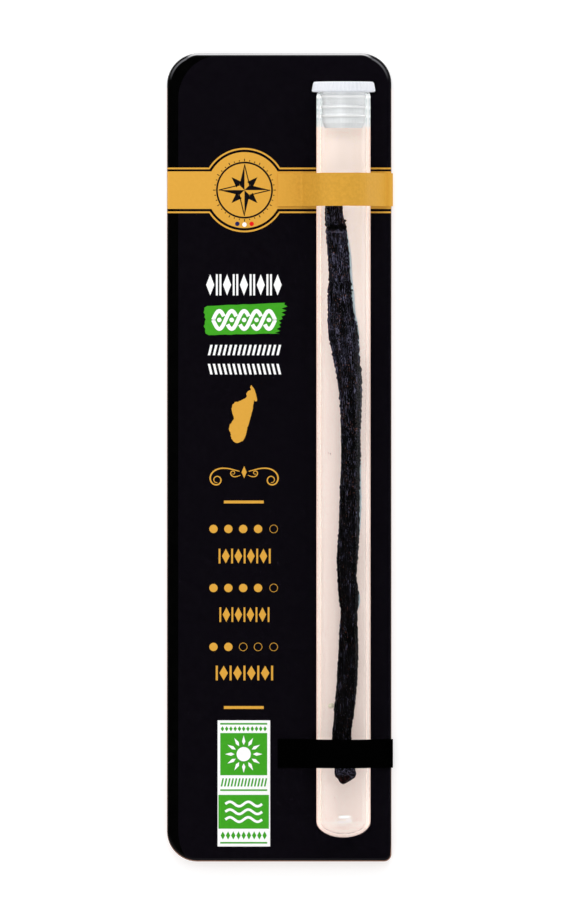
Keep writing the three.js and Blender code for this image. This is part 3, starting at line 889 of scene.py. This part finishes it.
# %% Print the label's ground and fields
LABEL = (12.4, 25.28, 163.4, 194.3)
FIELD_LEFT, FIELD_RIGHT = 13.05, 24.55
print_ink("label_ground", [box_outline(*LABEL)], white_ink, INK_LIFT)
green_fields = [box_outline(FIELD_LEFT, FIELD_RIGHT, 166.5, 176.85), box_outline(12.6, 24.98, 181.65, 189.95)]
for rule in (164.05, 180.3, 193.2):
    green_fields.append(box_outline(FIELD_LEFT, FIELD_RIGHT, rule, rule + 0.4))
green_fields += mark_row("lozenge " * 11, 13.15, 24.45, 164.85, 166.1)
green_fields += mark_row("slant " * 14, 13.15, 24.3, 177.6, 179.6)
green_fields += mark_row("lozenge " * 9, 13.15, 24.45, 190.6, 192.6)
print_ink("label_fields", green_fields, green_ink, OVER_LIFT)

# %% [markdown]
# The upper field holds a plain sun, a disc with twelve rays, and the lower one three waves, in white a
# little over the green. A ray is a thin lozenge, laid out from two directions: outward and sideways.

# %% Print the label's sun and waves
SUN = (18.8, 171.68)
SUN_RADIUS = 1.75
RAYS = 12
RAY_START, RAY_MIDDLE, RAY_END, RAY_HALF = 2.25, 3.1, 4.6, 0.42
WAVE_LEFT, WAVE_LENGTH, WAVE_HEIGHT = 14.3, 9.0, 0.55
label_whites = [round_outline(*SUN, SUN_RADIUS, 40)]
for k in range(RAYS):
    turn = 2 * math.pi * k / RAYS
    outward = np.array((math.cos(turn), -math.sin(turn)))
    sideways = np.array((math.sin(turn), math.cos(turn))) * RAY_HALF
    ray = [RAY_START * outward, RAY_MIDDLE * outward + sideways]
    ray += [RAY_END * outward, RAY_MIDDLE * outward - sideways]
    label_whites.append([tuple(np.array(SUN) + point) for point in ray])
for down in (183.9, 185.8, 187.7):
    wave_path = []
    for share in np.linspace(0, 1, 49):
        crest = WAVE_HEIGHT * math.sin(4 * math.pi * share)
        wave_path.append((WAVE_LEFT + WAVE_LENGTH * share, down - crest))
    label_whites += ribbon_outlines(wave_path, 0.62)
print_ink("label_whites", label_whites, white_ink, TOP_LIFT)

# %% [markdown]
# ## The liner
#
# The strip on the trough's floor is of the same cream paper, with a finer grain in its surface.

# %% Dress the liner
cream_paper, tree, shader = new_material("cream_paper")
x, y, z = place_on_pack(tree)
paper = cream_colour(tree, x, y)
feed(shader, "Base Color", paper)
# Painted glow: the liner gives light of its own, so it stays bright in the straps' shade
feed(shader, "Emission Color", paper)
shader.inputs["Emission Strength"].default_value = PAINTED_PAPER_GLOW
feed(shader, "Roughness", uneven(tree, 0.8 * MM, 0.8, 0.9))
shader.inputs["Specular IOR Level"].default_value = 0.2
raise_surface(tree, shader, grain(tree, 0.2 * MM, 5.0), 0.01 * MM, 0.5)
dress("liner", cream_paper)

# %% [markdown]
# ## The glass tube
#
# The tube is a real hollow solid with a wall. Thick glass bends what is behind it and draws dark lines
# along the wall. The pack's tube shows pale paper right to its edges, and only a faint line where the
# bore begins. So the body of the glass bends light very little, and a clear coat on it gives the gloss.

# %% Clear glass
clear_glass, tree, shader = new_material("clear_glass")
shader.inputs["Base Color"].default_value = (0.995, 0.998, 0.998, 1)
shader.inputs["IOR"].default_value = 1.006
shader.inputs["Transmission Weight"].default_value = 1.0
shader.inputs["Coat Weight"].default_value = 0.5
shader.inputs["Coat IOR"].default_value = 1.45
shader.inputs["Coat Roughness"].default_value = 0.03
smear = grain(tree, 6 * MM, 2.0, (1, 0.15, 1))
feed(shader, "Roughness", remap(tree, smear, 0.4, 0.7, 0.004, 0.02))
dress("glass_tube", clear_glass)

# %% [markdown]
# ## The stopper
#
# The stopper is moulded in soft milky plastic. Light goes a little way into it and comes out again,
# which fills its ribs and rings with light, so its shader scatters light under its surface. Below the rim the
# plug has a faint painted glow, strongest near the rim, and a painted strip of light down its middle.

# %% Milky plastic
HEAD_WHITE, HEAD_CLOUD = (0.715, 0.735, 0.78), (0.685, 0.705, 0.75)
PLUG_WHITE, PLUG_CLOUD = (0.757, 0.770, 0.778), (0.732, 0.745, 0.753)
PLUG_SHADE = (0.52, 0.56, 0.57)
milky_plastic, tree, shader = new_material("milky_plastic")
x, y, z = place_on_pack(tree)
cloud = uneven(tree, 1.5 * MM, 0, 1)
head_colour = blend_colours(tree, cloud, HEAD_WHITE, HEAD_CLOUD)
plug_colour = blend_colours(tree, cloud, PLUG_WHITE, PLUG_CLOUD)
# Painted highlights on the plug's rings, with painted shade under each
plug_colour = draw_rings(tree, y, plug_colour, PLUG_SHADE, 0.30)
on_head = calculate(tree, "GREATER_THAN", y, TUBE_RIM)
feed(shader, "Base Color", blend_colours(tree, on_head, plug_colour, head_colour))
# Painted glow of the plug, strongest at the rim, and a painted strip of light down its middle
painted_rim_glow = remap(tree, y, TUBE_RIM - 3.8 * MM, TUBE_RIM, 0.02, 0.20)
glow = calculate(tree, "ADD", painted_rim_glow, peak(tree, x, TUBE_X - 0.7 * MM, 1.6 * MM, 0.08))
glow = both(tree, glow, other_than(tree, on_head))
feed(shader, "Emission Color", blend_colours(tree, glow, (0, 0, 0), WHITE))
shader.inputs["Emission Strength"].default_value = 1.0
feed(shader, "Roughness", uneven(tree, 0.6 * MM, 0.34, 0.44))
shader.inputs["Subsurface Weight"].default_value = 0.35
shader.inputs["Subsurface Radius"].default_value = (1.0, 1.0, 1.0)
shader.inputs["Subsurface Scale"].default_value = 0.8 * MM
raise_surface(tree, shader, grain(tree, 0.4 * MM, 2.0), 0.004 * MM, 0.4)
dress("cap", milky_plastic)

# %% [markdown]
# ## The pod
#
# A cured vanilla pod is a thin, soft, flattened tube of skin that has shrunk round its seeds. It has
# long wrinkles that wander and merge, a few knobs and cross creases, and a blunt end. The CAD solid has
# its bends and widths. This piece follows them through more stations, each with its distance below the
# card's top edge, its middle's place across and up from the tube's axis, and its width, in millimetres.
# Its rings are close enough to carry the wrinkles as real relief, so they show at the outline too.

# %% The pod's stations and its smooth line
POD_STATIONS = np.array([
    (30.6, -2.9, -2.3, 1.3), (32.0, -2.9, -2.35, 2.3), (34.0, -2.75, -2.4, 3.3), (37.4, -2.5, -2.5, 4.0),
    (40.0, -2.35, -2.55, 4.3), (42.8, -1.8, -2.65, 4.85), (45.8, -1.5, -2.8, 4.9), (48.8, -1.2, -2.9, 5.1),
    (54.7, -1.0, -3.0, 5.15), (60.5, -0.75, -2.9, 5.75), (63.5, -0.6, -2.85, 5.9), (66.4, -0.3, -2.7, 6.5),
    (69.4, -0.05, -2.6, 6.85), (72.3, 0.35, -2.65, 6.4), (75.2, 0.8, -2.65, 6.1), (78.2, 1.3, -2.6, 5.9),
    (81.1, 1.5, -2.5, 5.6), (87.0, 1.7, -2.55, 5.0), (92.9, 1.75, -2.65, 4.65), (98.8, 1.7, -2.8, 4.65),
    (104.6, 1.5, -2.9, 4.5), (110.5, 1.5, -3.05, 4.5), (116.4, 1.3, -3.1, 4.75), (122.3, 1.05, -3.2, 4.85),
    (125.2, 0.95, -3.2, 4.9), (128.2, 0.9, -3.2, 4.5), (131.1, 1.15, -3.25, 4.75), (134.0, 1.35, -3.2, 4.65),
    (137.0, 1.45, -3.3, 4.0), (139.9, 1.3, -3.3, 4.15), (145.8, 1.1, -3.3, 4.5), (151.7, 0.95, -3.3, 4.8),
    (157.6, 0.55, -3.3, 4.9), (160.5, 0.15, -3.35, 4.9), (163.4, -0.1, -3.4, 4.7), (166.4, -0.4, -3.45, 4.5),
    (171.2, -0.1, -3.35, 4.9), (175.4, 0.3, -3.25, 5.1), (176.9, 0.5, -3.3, 4.7), (177.4, 0.5, -3.35, 4.1),
    (177.9, 0.35, -3.4, 3.2), (178.4, 0.1, -3.45, 2.2), (178.8, -0.05, -3.5, 1.3),
])


def smooth_curve(knots, values, places):
    """A smooth curve through values at knots, read at places."""
    slopes = np.gradient(values, knots)
    i = np.clip(np.searchsorted(knots, places, side="right") - 1, 0, len(knots) - 2)
    span = knots[i + 1] - knots[i]
    t = (places - knots[i]) / span
    start = (1 + 2 * t) * (1 - t) ** 2 * values[i] + t * (1 - t) ** 2 * span * slopes[i]
    return start + t**2 * (3 - 2 * t) * values[i + 1] + t**2 * (t - 1) * span * slopes[i + 1]


POD_SIDES = 112
STEM_RINGS, BODY_RINGS, TIP_RINGS = 16, 604, 22
knots = POD_STATIONS[:, 0]
stem_end, tip_start = knots[0] + 2, knots[-1] - 2.2
below = np.concatenate([
    np.linspace(knots[0], stem_end, STEM_RINGS)[:-1],
    np.linspace(stem_end, tip_start, BODY_RINGS),
    np.linspace(tip_start, knots[-1], TIP_RINGS)[1:],
])
across, up, width = (smooth_curve(knots, POD_STATIONS[:, k], below) for k in (1, 2, 3))
pod_length = round(float(below[-1] - below[0]), 1)
print("pod:", len(below), "rings,", pod_length, "mm long, up to", round(float(width.max()), 1), "mm wide")

# %% [markdown]
# The relief is a sum of waves round the pod. Each wave's phase wanders down the length, so ridges drift,
# pinch and fade as they do on dried skin. The wander comes from a few seeded random points joined
# smoothly, so the same pod comes out each time.

# %% Wrinkle the pod's skin
RIDGES, RIDGE_DEPTH, TWIST_TURNS = 7, 0.085, 0.35
turns = np.linspace(0, 2 * np.pi, POD_SIDES, endpoint=False)
share_down = (below - below[0]) / (below[-1] - below[0])
down_pod = share_down[:, None]
rng = np.random.default_rng(20)


def wander(points, reach):
    """A smooth random line down the pod, between minus reach and plus reach."""
    places = np.linspace(0, 1, points)
    return smooth_curve(places, rng.uniform(-reach, reach, points), share_down)[:, None]


ridge_phase = RIDGES * (turns + TWIST_TURNS * 2 * np.pi * down_pod) + 1.3 * np.sin(9 * down_pod)
skin = 1 + RIDGE_DEPTH * np.cos(ridge_phase) * (0.8 + wander(14, 0.4))
skin += 0.04 * np.sin(37 * down_pod + 2 * turns) * np.sin(23 * down_pod - turns)
for waves, depth, points in ((13, 0.034, 16), (17, 0.028, 24), (23, 0.021, 34), (31, 0.014, 50)):
    skin += depth * np.cos(waves * turns + wander(points, 3.5)) * (0.6 + wander(points, 0.6))
for _ in range(40):
    around, along, shift = rng.integers(3, 20), rng.uniform(50, 190), rng.uniform(0, 2 * np.pi)
    skin += 0.007 * np.cos(around * turns + 2 * np.pi * along * down_pod + shift)
print("waves from", round(float(skin.min()), 3), "to", round(float(skin.max()), 3), "of the radius")

# %% [markdown]
# Seeded random dents come on top of the waves, small knobs crowd at the tip, and four creases cross the
# pod where it was bent or tied.

# %% Dent, knob and crease the skin
def add_bumps(skin, count, places, lengths, widths, heights):
    """Adds round bumps to the skin, each size drawn at random between two limits."""
    for _ in range(count):
        middle, turn = rng.uniform(*places), rng.uniform(0, 2 * np.pi)
        long, wide = rng.uniform(*lengths), rng.uniform(*widths)
        gap = (turns - turn + np.pi) % (2 * np.pi) - np.pi
        bump = np.exp(-(((down_pod - middle) / long) ** 2)) * np.exp(-((gap / wide) ** 2))
        skin += rng.uniform(*heights) * bump


DENTS, TIP_KNOBS = 380, 90
add_bumps(skin, DENTS, (0.02, 0.985), (0.0025, 0.012), (0.08, 0.3), (-0.075, 0.035))
add_bumps(skin, TIP_KNOBS, (0.962, 0.997), (0.0012, 0.0032), (0.12, 0.3), (-0.16, 0.11))
CREASE_WIDTH = 0.0022
# Each crease: its place down the pod, its depth and its slant, as shares of the pod's length and radius
CREASES = ((0.0835, 0.06, 0.002), (0.42, 0.03, -0.003), (0.715, 0.035, 0.004), (0.905, 0.03, -0.002))
for middle, depth, slant in CREASES:
    crease = middle + slant * np.cos(turns)
    skin -= depth * np.exp(-(((down_pod - crease) / CREASE_WIDTH) ** 2))
print("skin relief from", round(float(skin.min()), 3), "to", round(float(skin.max()), 3), "of the radius")

# %% [markdown]
# The pod has to stay in the tube's bore, so the distance of each point from the tube's axis is measured,
# and the skin is drawn in where it would touch the glass.

# %% Shape the pod's rings
POD_FLATNESS = 0.8
BORE = (TUBE_RADIUS - TUBE_WALL) / MM - 0.06
radius = width[:, None] / 2 * skin
ring_x = across[:, None] + radius * np.cos(turns)
ring_z = up[:, None] + radius * np.sin(turns) * POD_FLATNESS
inward = np.minimum(1, BORE / np.hypot(ring_x, ring_z))
ring_x, ring_z = ring_x * inward, ring_z * inward
ring_y = np.broadcast_to(CARD_TOP / MM - below[:, None], ring_x.shape)
points = np.stack([ring_x + TUBE_X / MM, ring_y, ring_z + TUBE_Z / MM], axis=2).reshape(-1, 3) * MM
print("pod drawn in at", int((inward < 1).sum()), "points")

# %% [markdown]
# The rings are joined into one closed skin by four-sided faces, and a fan of triangles closes each end.
# Every point also keeps how high it stands in the relief, so that the finish can tell crests from folds.

# %% Join the rings into the pod
END_SWELL = 0.25 * MM
ends = [points[:POD_SIDES].mean(0) + (0, END_SWELL, 0), points[-POD_SIDES:].mean(0) - (0, END_SWELL, 0)]
corner = np.arange(len(below) * POD_SIDES).reshape(len(below), POD_SIDES)
following = np.roll(corner, -1, axis=1)
quads = np.stack([corner[:-1], following[:-1], following[1:], corner[1:]], axis=2).reshape(-1, 4)
stem, tip = len(points), len(points) + 1
fans = [(stem, int(following[0, s]), int(corner[0, s])) for s in range(POD_SIDES)]
fans += [(tip, int(corner[-1, s]), int(following[-1, s])) for s in range(POD_SIDES)]
pod_mesh = bpy.data.meshes.new("wrinkled_pod")
pod_mesh.from_pydata([*points.tolist(), *map(list, ends)], [], [*quads.tolist(), *fans])
pod_mesh.polygons.foreach_set("use_smooth", [True] * len(pod_mesh.polygons))
crest = pod_mesh.attributes.new("crest", "FLOAT", "POINT")
crest.data.foreach_set("value", [*np.clip((skin - 0.86) / 0.28, 0, 1).ravel(), 0.5, 0.5])
wrinkled_pod = new_piece("wrinkled_pod", pod_mesh)
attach(wrinkled_pod, "root")
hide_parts("vanilla_pod")
print("pod of", len(pod_mesh.polygons), "faces")

# %% [markdown]
# The skin is black brown. An oily sheen is painted on it in bluish grey along its crests, in fine fibres
# that thin out towards the foot. Near the stem a crease crosses it, with painted shade in it and a painted
# highlight on its lip, and the tip has spots of the painted sheen. The relief kept at each point tells
# where the crests are.

# %% The painted sheen on the crests
SKIN_BLACK = (0.0007, 0.0006, 0.0008)
# Painted sheen: the bluish grey of light caught on the skin
PAINTED_SHEEN = (0.182, 0.174, 0.278)
TIP_STARTS = CARD_TOP - 173.0 * MM
CREASE_AT = CARD_TOP - 42.1 * MM
LIP_AT = CARD_TOP - 43.3 * MM
FIBRES_GO, FIBRES_THIN = -35 * MM, 30 * MM
oily_skin, tree, shader = new_material("oily_skin")
x, y, z = place_on_pack(tree)
crest_height = tree.nodes.new("ShaderNodeAttribute")
crest_height.attribute_name = "crest"
# The painted sheen is strongest on the crests and fainter in the folds
on_crest = remap(tree, crest_height.outputs["Fac"], 0.25, 0.7, 0.3, 1.0)
thinning = remap(tree, y, FIBRES_GO, FIBRES_THIN, -0.08, 0.015)
thickening = remap(tree, y, 35 * MM, 55 * MM, 0.0, 0.016)
fibre_noise = calculate(tree, "ADD", grain(tree, 0.15 * MM, 1.0, (1, 0.06, 1)), thinning)
fibre_noise = calculate(tree, "ADD", fibre_noise, thickening)
fibres = remap(tree, fibre_noise, 0.56, 0.68, 0.0, 1.0)
patches = remap(tree, grain(tree, 1.5 * MM, 2.0, (1, 0.45, 1)), 0.38, 0.58, 0.25, 1.0)
sheen_share = both(tree, both(tree, fibres, patches), on_crest)
at_tip = remap(tree, y, TIP_STARTS, TIP_STARTS + 0.6 * MM, 1.0, 0.0)
# Spots of painted sheen at the tip
mottles = remap(tree, grain(tree, 0.5 * MM, 2.0), 0.50, 0.60, 0.02, 0.30)
above_tip = both(tree, sheen_share, other_than(tree, at_tip))
sheen_share = calculate(tree, "ADD", above_tip, both(tree, mottles, at_tip))
skin_colour = blend_colours(tree, sheen_share, SKIN_BLACK, PAINTED_SHEEN)
crease_wander = both(tree, grain(tree, 1.4 * MM, 2.0), 0.9 * MM)
crease_y = calculate(tree, "ADD", y, crease_wander)
# Painted shade in the crease near the stem
in_crease = remap(tree, away_from(tree, crease_y, CREASE_AT), 0.5 * MM, 0.75 * MM, 1.0, 0.0)
skin_colour = blend_colours(tree, in_crease, skin_colour, SKIN_BLACK)
# Painted highlight on the crease's lip
on_lip = remap(tree, away_from(tree, crease_y, LIP_AT), 0.1 * MM, 0.4 * MM, 0.4, 0.0)
on_lip = both(tree, on_lip, remap(tree, grain(tree, 0.5 * MM, 2.0), 0.4, 0.6, 0.0, 1.0))
skin_colour = blend_colours(tree, on_lip, skin_colour, PAINTED_SHEEN)
print("fibres thin out over", round((FIBRES_THIN - FIBRES_GO) / MM), "mm of the pod")

# %% [markdown]
# In places a warm brown shows through the skin, in small flecks, and the pod ends in a brown scar. A
# finer relief in the shader adds the tiny wrinkles and grains between the modelled ones.

# %% The brown flecks, the scar and the sheen
SKIN_BROWN = (0.19, 0.075, 0.05)
SCAR_BROWN = (0.020, 0.0045, 0.0040)
SCAR_STARTS = CARD_TOP - 177.1 * MM
SCAR_RIGHT = TUBE_X + 1.3 * MM
flecks = remap(tree, grain(tree, 0.26 * MM, 2.0, (1, 0.5, 1)), 0.64, 0.70, 0.0, 1.0)
warm_patches = remap(tree, grain(tree, 2.4 * MM, 2.0), 0.48, 0.58, 0.0, 1.0)
warmth = remap(tree, y, -80 * MM, 0.0, 0.3, 1.0)
brown_share = both(tree, both(tree, flecks, warm_patches), warmth)
skin_colour = blend_colours(tree, brown_share, skin_colour, SKIN_BROWN)
scar_mottles = remap(tree, grain(tree, 0.5 * MM, 2.0), 0.46, 0.58, 0.0, 1.0)
scar = blend_colours(tree, scar_mottles, SKIN_BLACK, SCAR_BROWN)
left_of_knob = remap(tree, x, SCAR_RIGHT, SCAR_RIGHT + 0.4 * MM, 1.0, 0.0)
in_scar = both(tree, remap(tree, y, SCAR_STARTS, SCAR_STARTS + 0.4 * MM, 1.0, 0.0), left_of_knob)
feed(shader, "Base Color", blend_colours(tree, in_scar, skin_colour, scar))
feed(shader, "Roughness", uneven(tree, 0.7 * MM, 0.28, 0.55, 3.0, (1, 0.4, 1)))
shader.inputs["Specular IOR Level"].default_value = 0.02
raise_surface(tree, shader, grain(tree, 0.22 * MM, 5.0, (1, 0.22, 1)), 0.12 * MM, 0.8)
pod_mesh.materials.append(oily_skin)
print("pod wears", oily_skin.name)

# %% [markdown]
# Along the right side of the pod the glass shows a thin pale blue gleam in places. The gleam is painted
# on a ribbon that lies on the bore, follows the pod's outline and glows a little.

# %% Lay a painted blue gleam beside the pod
GLEAM_SPANS = ((43.6, 75.5, 0.55), (99.0, 119.0, 0.55), (131.5, 136.0, 0.30))
GLEAM_STEPS = 100
GLEAM_BLUE, GLEAM_PALE = (0.72, 0.88, 0.92), (0.88, 0.96, 0.97)
GLEAM_RADIUS = (TUBE_RADIUS - TUBE_WALL) / MM - 0.03
painted_gleam, tree, shader = new_material("painted_gleam")
gleam_grain = grain(tree, 0.5 * MM, 2.0, (1, 0.3, 1))
feed(shader, "Base Color", blend_colours(tree, gleam_grain, GLEAM_BLUE, GLEAM_PALE))
feed(shader, "Roughness", uneven(tree, 0.5 * MM, 0.3, 0.5))
shader.inputs["Specular IOR Level"].default_value = 0.1
# Painted gleam: the ribbon glows a little in pale blue
shader.inputs["Emission Color"].default_value = (0.75, 0.92, 1.0, 1)
shader.inputs["Emission Strength"].default_value = 0.18
gleam_points, gleam_faces = [], []
for start, end, widest in GLEAM_SPANS:
    for step, down in enumerate(np.linspace(start, end, GLEAM_STEPS)):
        side = smooth_curve(knots, POD_STATIONS[:, 1] + POD_STATIONS[:, 3] / 2, down)
        swell = math.sin(math.pi * step / (GLEAM_STEPS - 1)) ** 0.5
        for aside in (side - 0.35, side + 0.1 + widest * swell + rng.uniform(-0.06, 0.06)):
            drop = math.sqrt(GLEAM_RADIUS**2 - aside**2)
            gleam_points.append((TUBE_X + aside * MM, CARD_TOP - down * MM, TUBE_Z - drop * MM))
        if step:
            k = len(gleam_points)
            gleam_faces.append((k - 2, k - 1, k - 3, k - 4))
gleam_mesh = bpy.data.meshes.new("painted_gleam")
gleam_mesh.from_pydata(gleam_points, [], gleam_faces)
gleam_mesh.materials.append(painted_gleam)
gleam_piece = new_piece("painted_gleam", gleam_mesh)
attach(gleam_piece, "root")
print("painted gleam", len(gleam_faces), "faces")

# %% [markdown]
# ## Crumbs in the tube
#
# A pale crumb lies on the glass beside the pod, and a few dark specks with it, as in any tube that holds
# a dried thing. Each is a small ball of a few faces, squeezed unevenly, and it rests on the bore.

# %% Helpers for crumbs
def crumb(size, seed):
    """A small irregular lump, about size metres across."""
    lump = bmesh.new()
    bmesh.ops.create_icosphere(lump, subdivisions=2, radius=size / 2)
    shape = np.random.default_rng(seed)
    squeeze = Vector(shape.uniform(0.6, 1.1, 3))
    for v in lump.verts:
        v.co = v.co * squeeze * shape.uniform(0.8, 1.15)
    return lump


def lay_crumbs(name, crumbs, material):
    """Crumbs as (across the bore, down the card, size) in millimetres, resting on the glass."""
    together = bmesh.new()
    for seed, (aside, down, size) in enumerate(crumbs):
        lump = crumb(size * MM, seed)
        drop = math.sqrt(((TUBE_RADIUS - TUBE_WALL) / MM) ** 2 - aside**2) - size * 0.6
        place = (TUBE_X + aside * MM, CARD_TOP - down * MM, TUBE_Z - drop * MM)
        bmesh.ops.translate(lump, verts=lump.verts, vec=place)
        piece = bpy.data.meshes.new("lump")
        lump.to_mesh(piece)
        lump.free()
        together.from_mesh(piece)
        bpy.data.meshes.remove(piece)
    data = bpy.data.meshes.new(name)
    together.to_mesh(data)
    together.free()
    data.materials.append(material)
    lumps = new_piece(name, data)
    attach(lumps, "root")
    print(name, len(crumbs), "lumps")


# %% [markdown]
# The largest crumb is pale and dry, like a bit of husk. Three are as black as the pod's skin and wear
# its finish, and the smallest specks are a dull dark grey.

# %% Scatter the crumbs
def crumb_finish(name, size, first, second, roughness):
    """A dull finish with two tones."""
    material, tree, shader = new_material(name)
    feed(shader, "Base Color", blend_colours(tree, grain(tree, size), first, second))
    shader.inputs["Roughness"].default_value = roughness
    return material


pale_husk = crumb_finish("pale_husk", 0.3 * MM, (0.95, 0.87, 0.68), (0.80, 0.72, 0.54), 0.6)
dark_speck = crumb_finish("dark_speck", 0.2 * MM, (0.16, 0.14, 0.14), (0.08, 0.06, 0.06), 0.7)
BLACK_CRUMBS = [(0.35, 41.0, 0.8), (1.85, 56.6, 0.7), (2.1, 58.0, 0.75)]
DARK_CRUMBS = [(-3.2, 98.1, 0.35), (-3.7, 97.9, 0.2), (-2.2, 182.4, 0.25)]
DARK_CRUMBS += [(-2.6, 156.9, 0.18), (2.9, 160.0, 0.18), (-3.4, 171.0, 0.15)]
lay_crumbs("pale_crumb", [(-3.05, 159.8, 1.8)], pale_husk)
lay_crumbs("black_crumbs", BLACK_CRUMBS, oily_skin)
lay_crumbs("dark_crumbs", DARK_CRUMBS, dark_speck)

# %% [markdown]
# ## The straps
#
# Two paper bands hold the tube. The upper one is gold with a fine grain. Where it leaves the card it
# starts in the printed band's own gold, deepens towards the tube, and lightens again past it.

# %% Gold paper
DEEP_GOLD, DEEP_GOLD_GRAIN = (0.570, 0.295, 0.034), (0.632, 0.327, 0.040)
LIGHTER_GOLD = (0.700, 0.365, 0.044)
gold_paper, tree, shader = new_material("gold_paper")
x, y, z = place_on_pack(tree)
mottled = remap(tree, grain(tree, 0.75 * MM), 0.35, 0.65, 0.0, 1.0)
deep_gold = blend_colours(tree, mottled, DEEP_GOLD, DEEP_GOLD_GRAIN)
past_tube = remap(tree, x, TUBE_X + 2 * MM, CARD_RIGHT, 0.0, 0.75)
deep_gold = blend_colours(tree, past_tube, deep_gold, LIGHTER_GOLD)
deepening = remap(tree, x, CARD_LEFT + 27.0 * MM, CARD_LEFT + 33.0 * MM, 0.0, 1.0)
feed(shader, "Base Color", blend_colours(tree, deepening, PRINTED_GOLD, deep_gold))
feed(shader, "Roughness", uneven(tree, 0.5 * MM, 0.5, 0.62))
shader.inputs["Specular IOR Level"].default_value = 0.12
raise_surface(tree, shader, grain(tree, 0.6 * MM, 4.0), 0.05 * MM, 0.8)
dress("upper_strap", gold_paper)

# %% [markdown]
# The lower band is plain black paper, matt enough to mirror nothing.

# %% Black paper
BLACK_GRAIN = (0.0006, 0.0006, 0.0006)
black_paper, tree, shader = new_material("black_paper")
feed(shader, "Base Color", blend_colours(tree, grain(tree, 0.8 * MM), DEEP_BLACK, BLACK_GRAIN))
feed(shader, "Roughness", uneven(tree, 0.5 * MM, 0.5, 0.6))
shader.inputs["Specular IOR Level"].default_value = 0.0
raise_surface(tree, shader, grain(tree, 0.35 * MM, 5.0), 0.012 * MM, 0.5)
dress("lower_strap", black_paper)
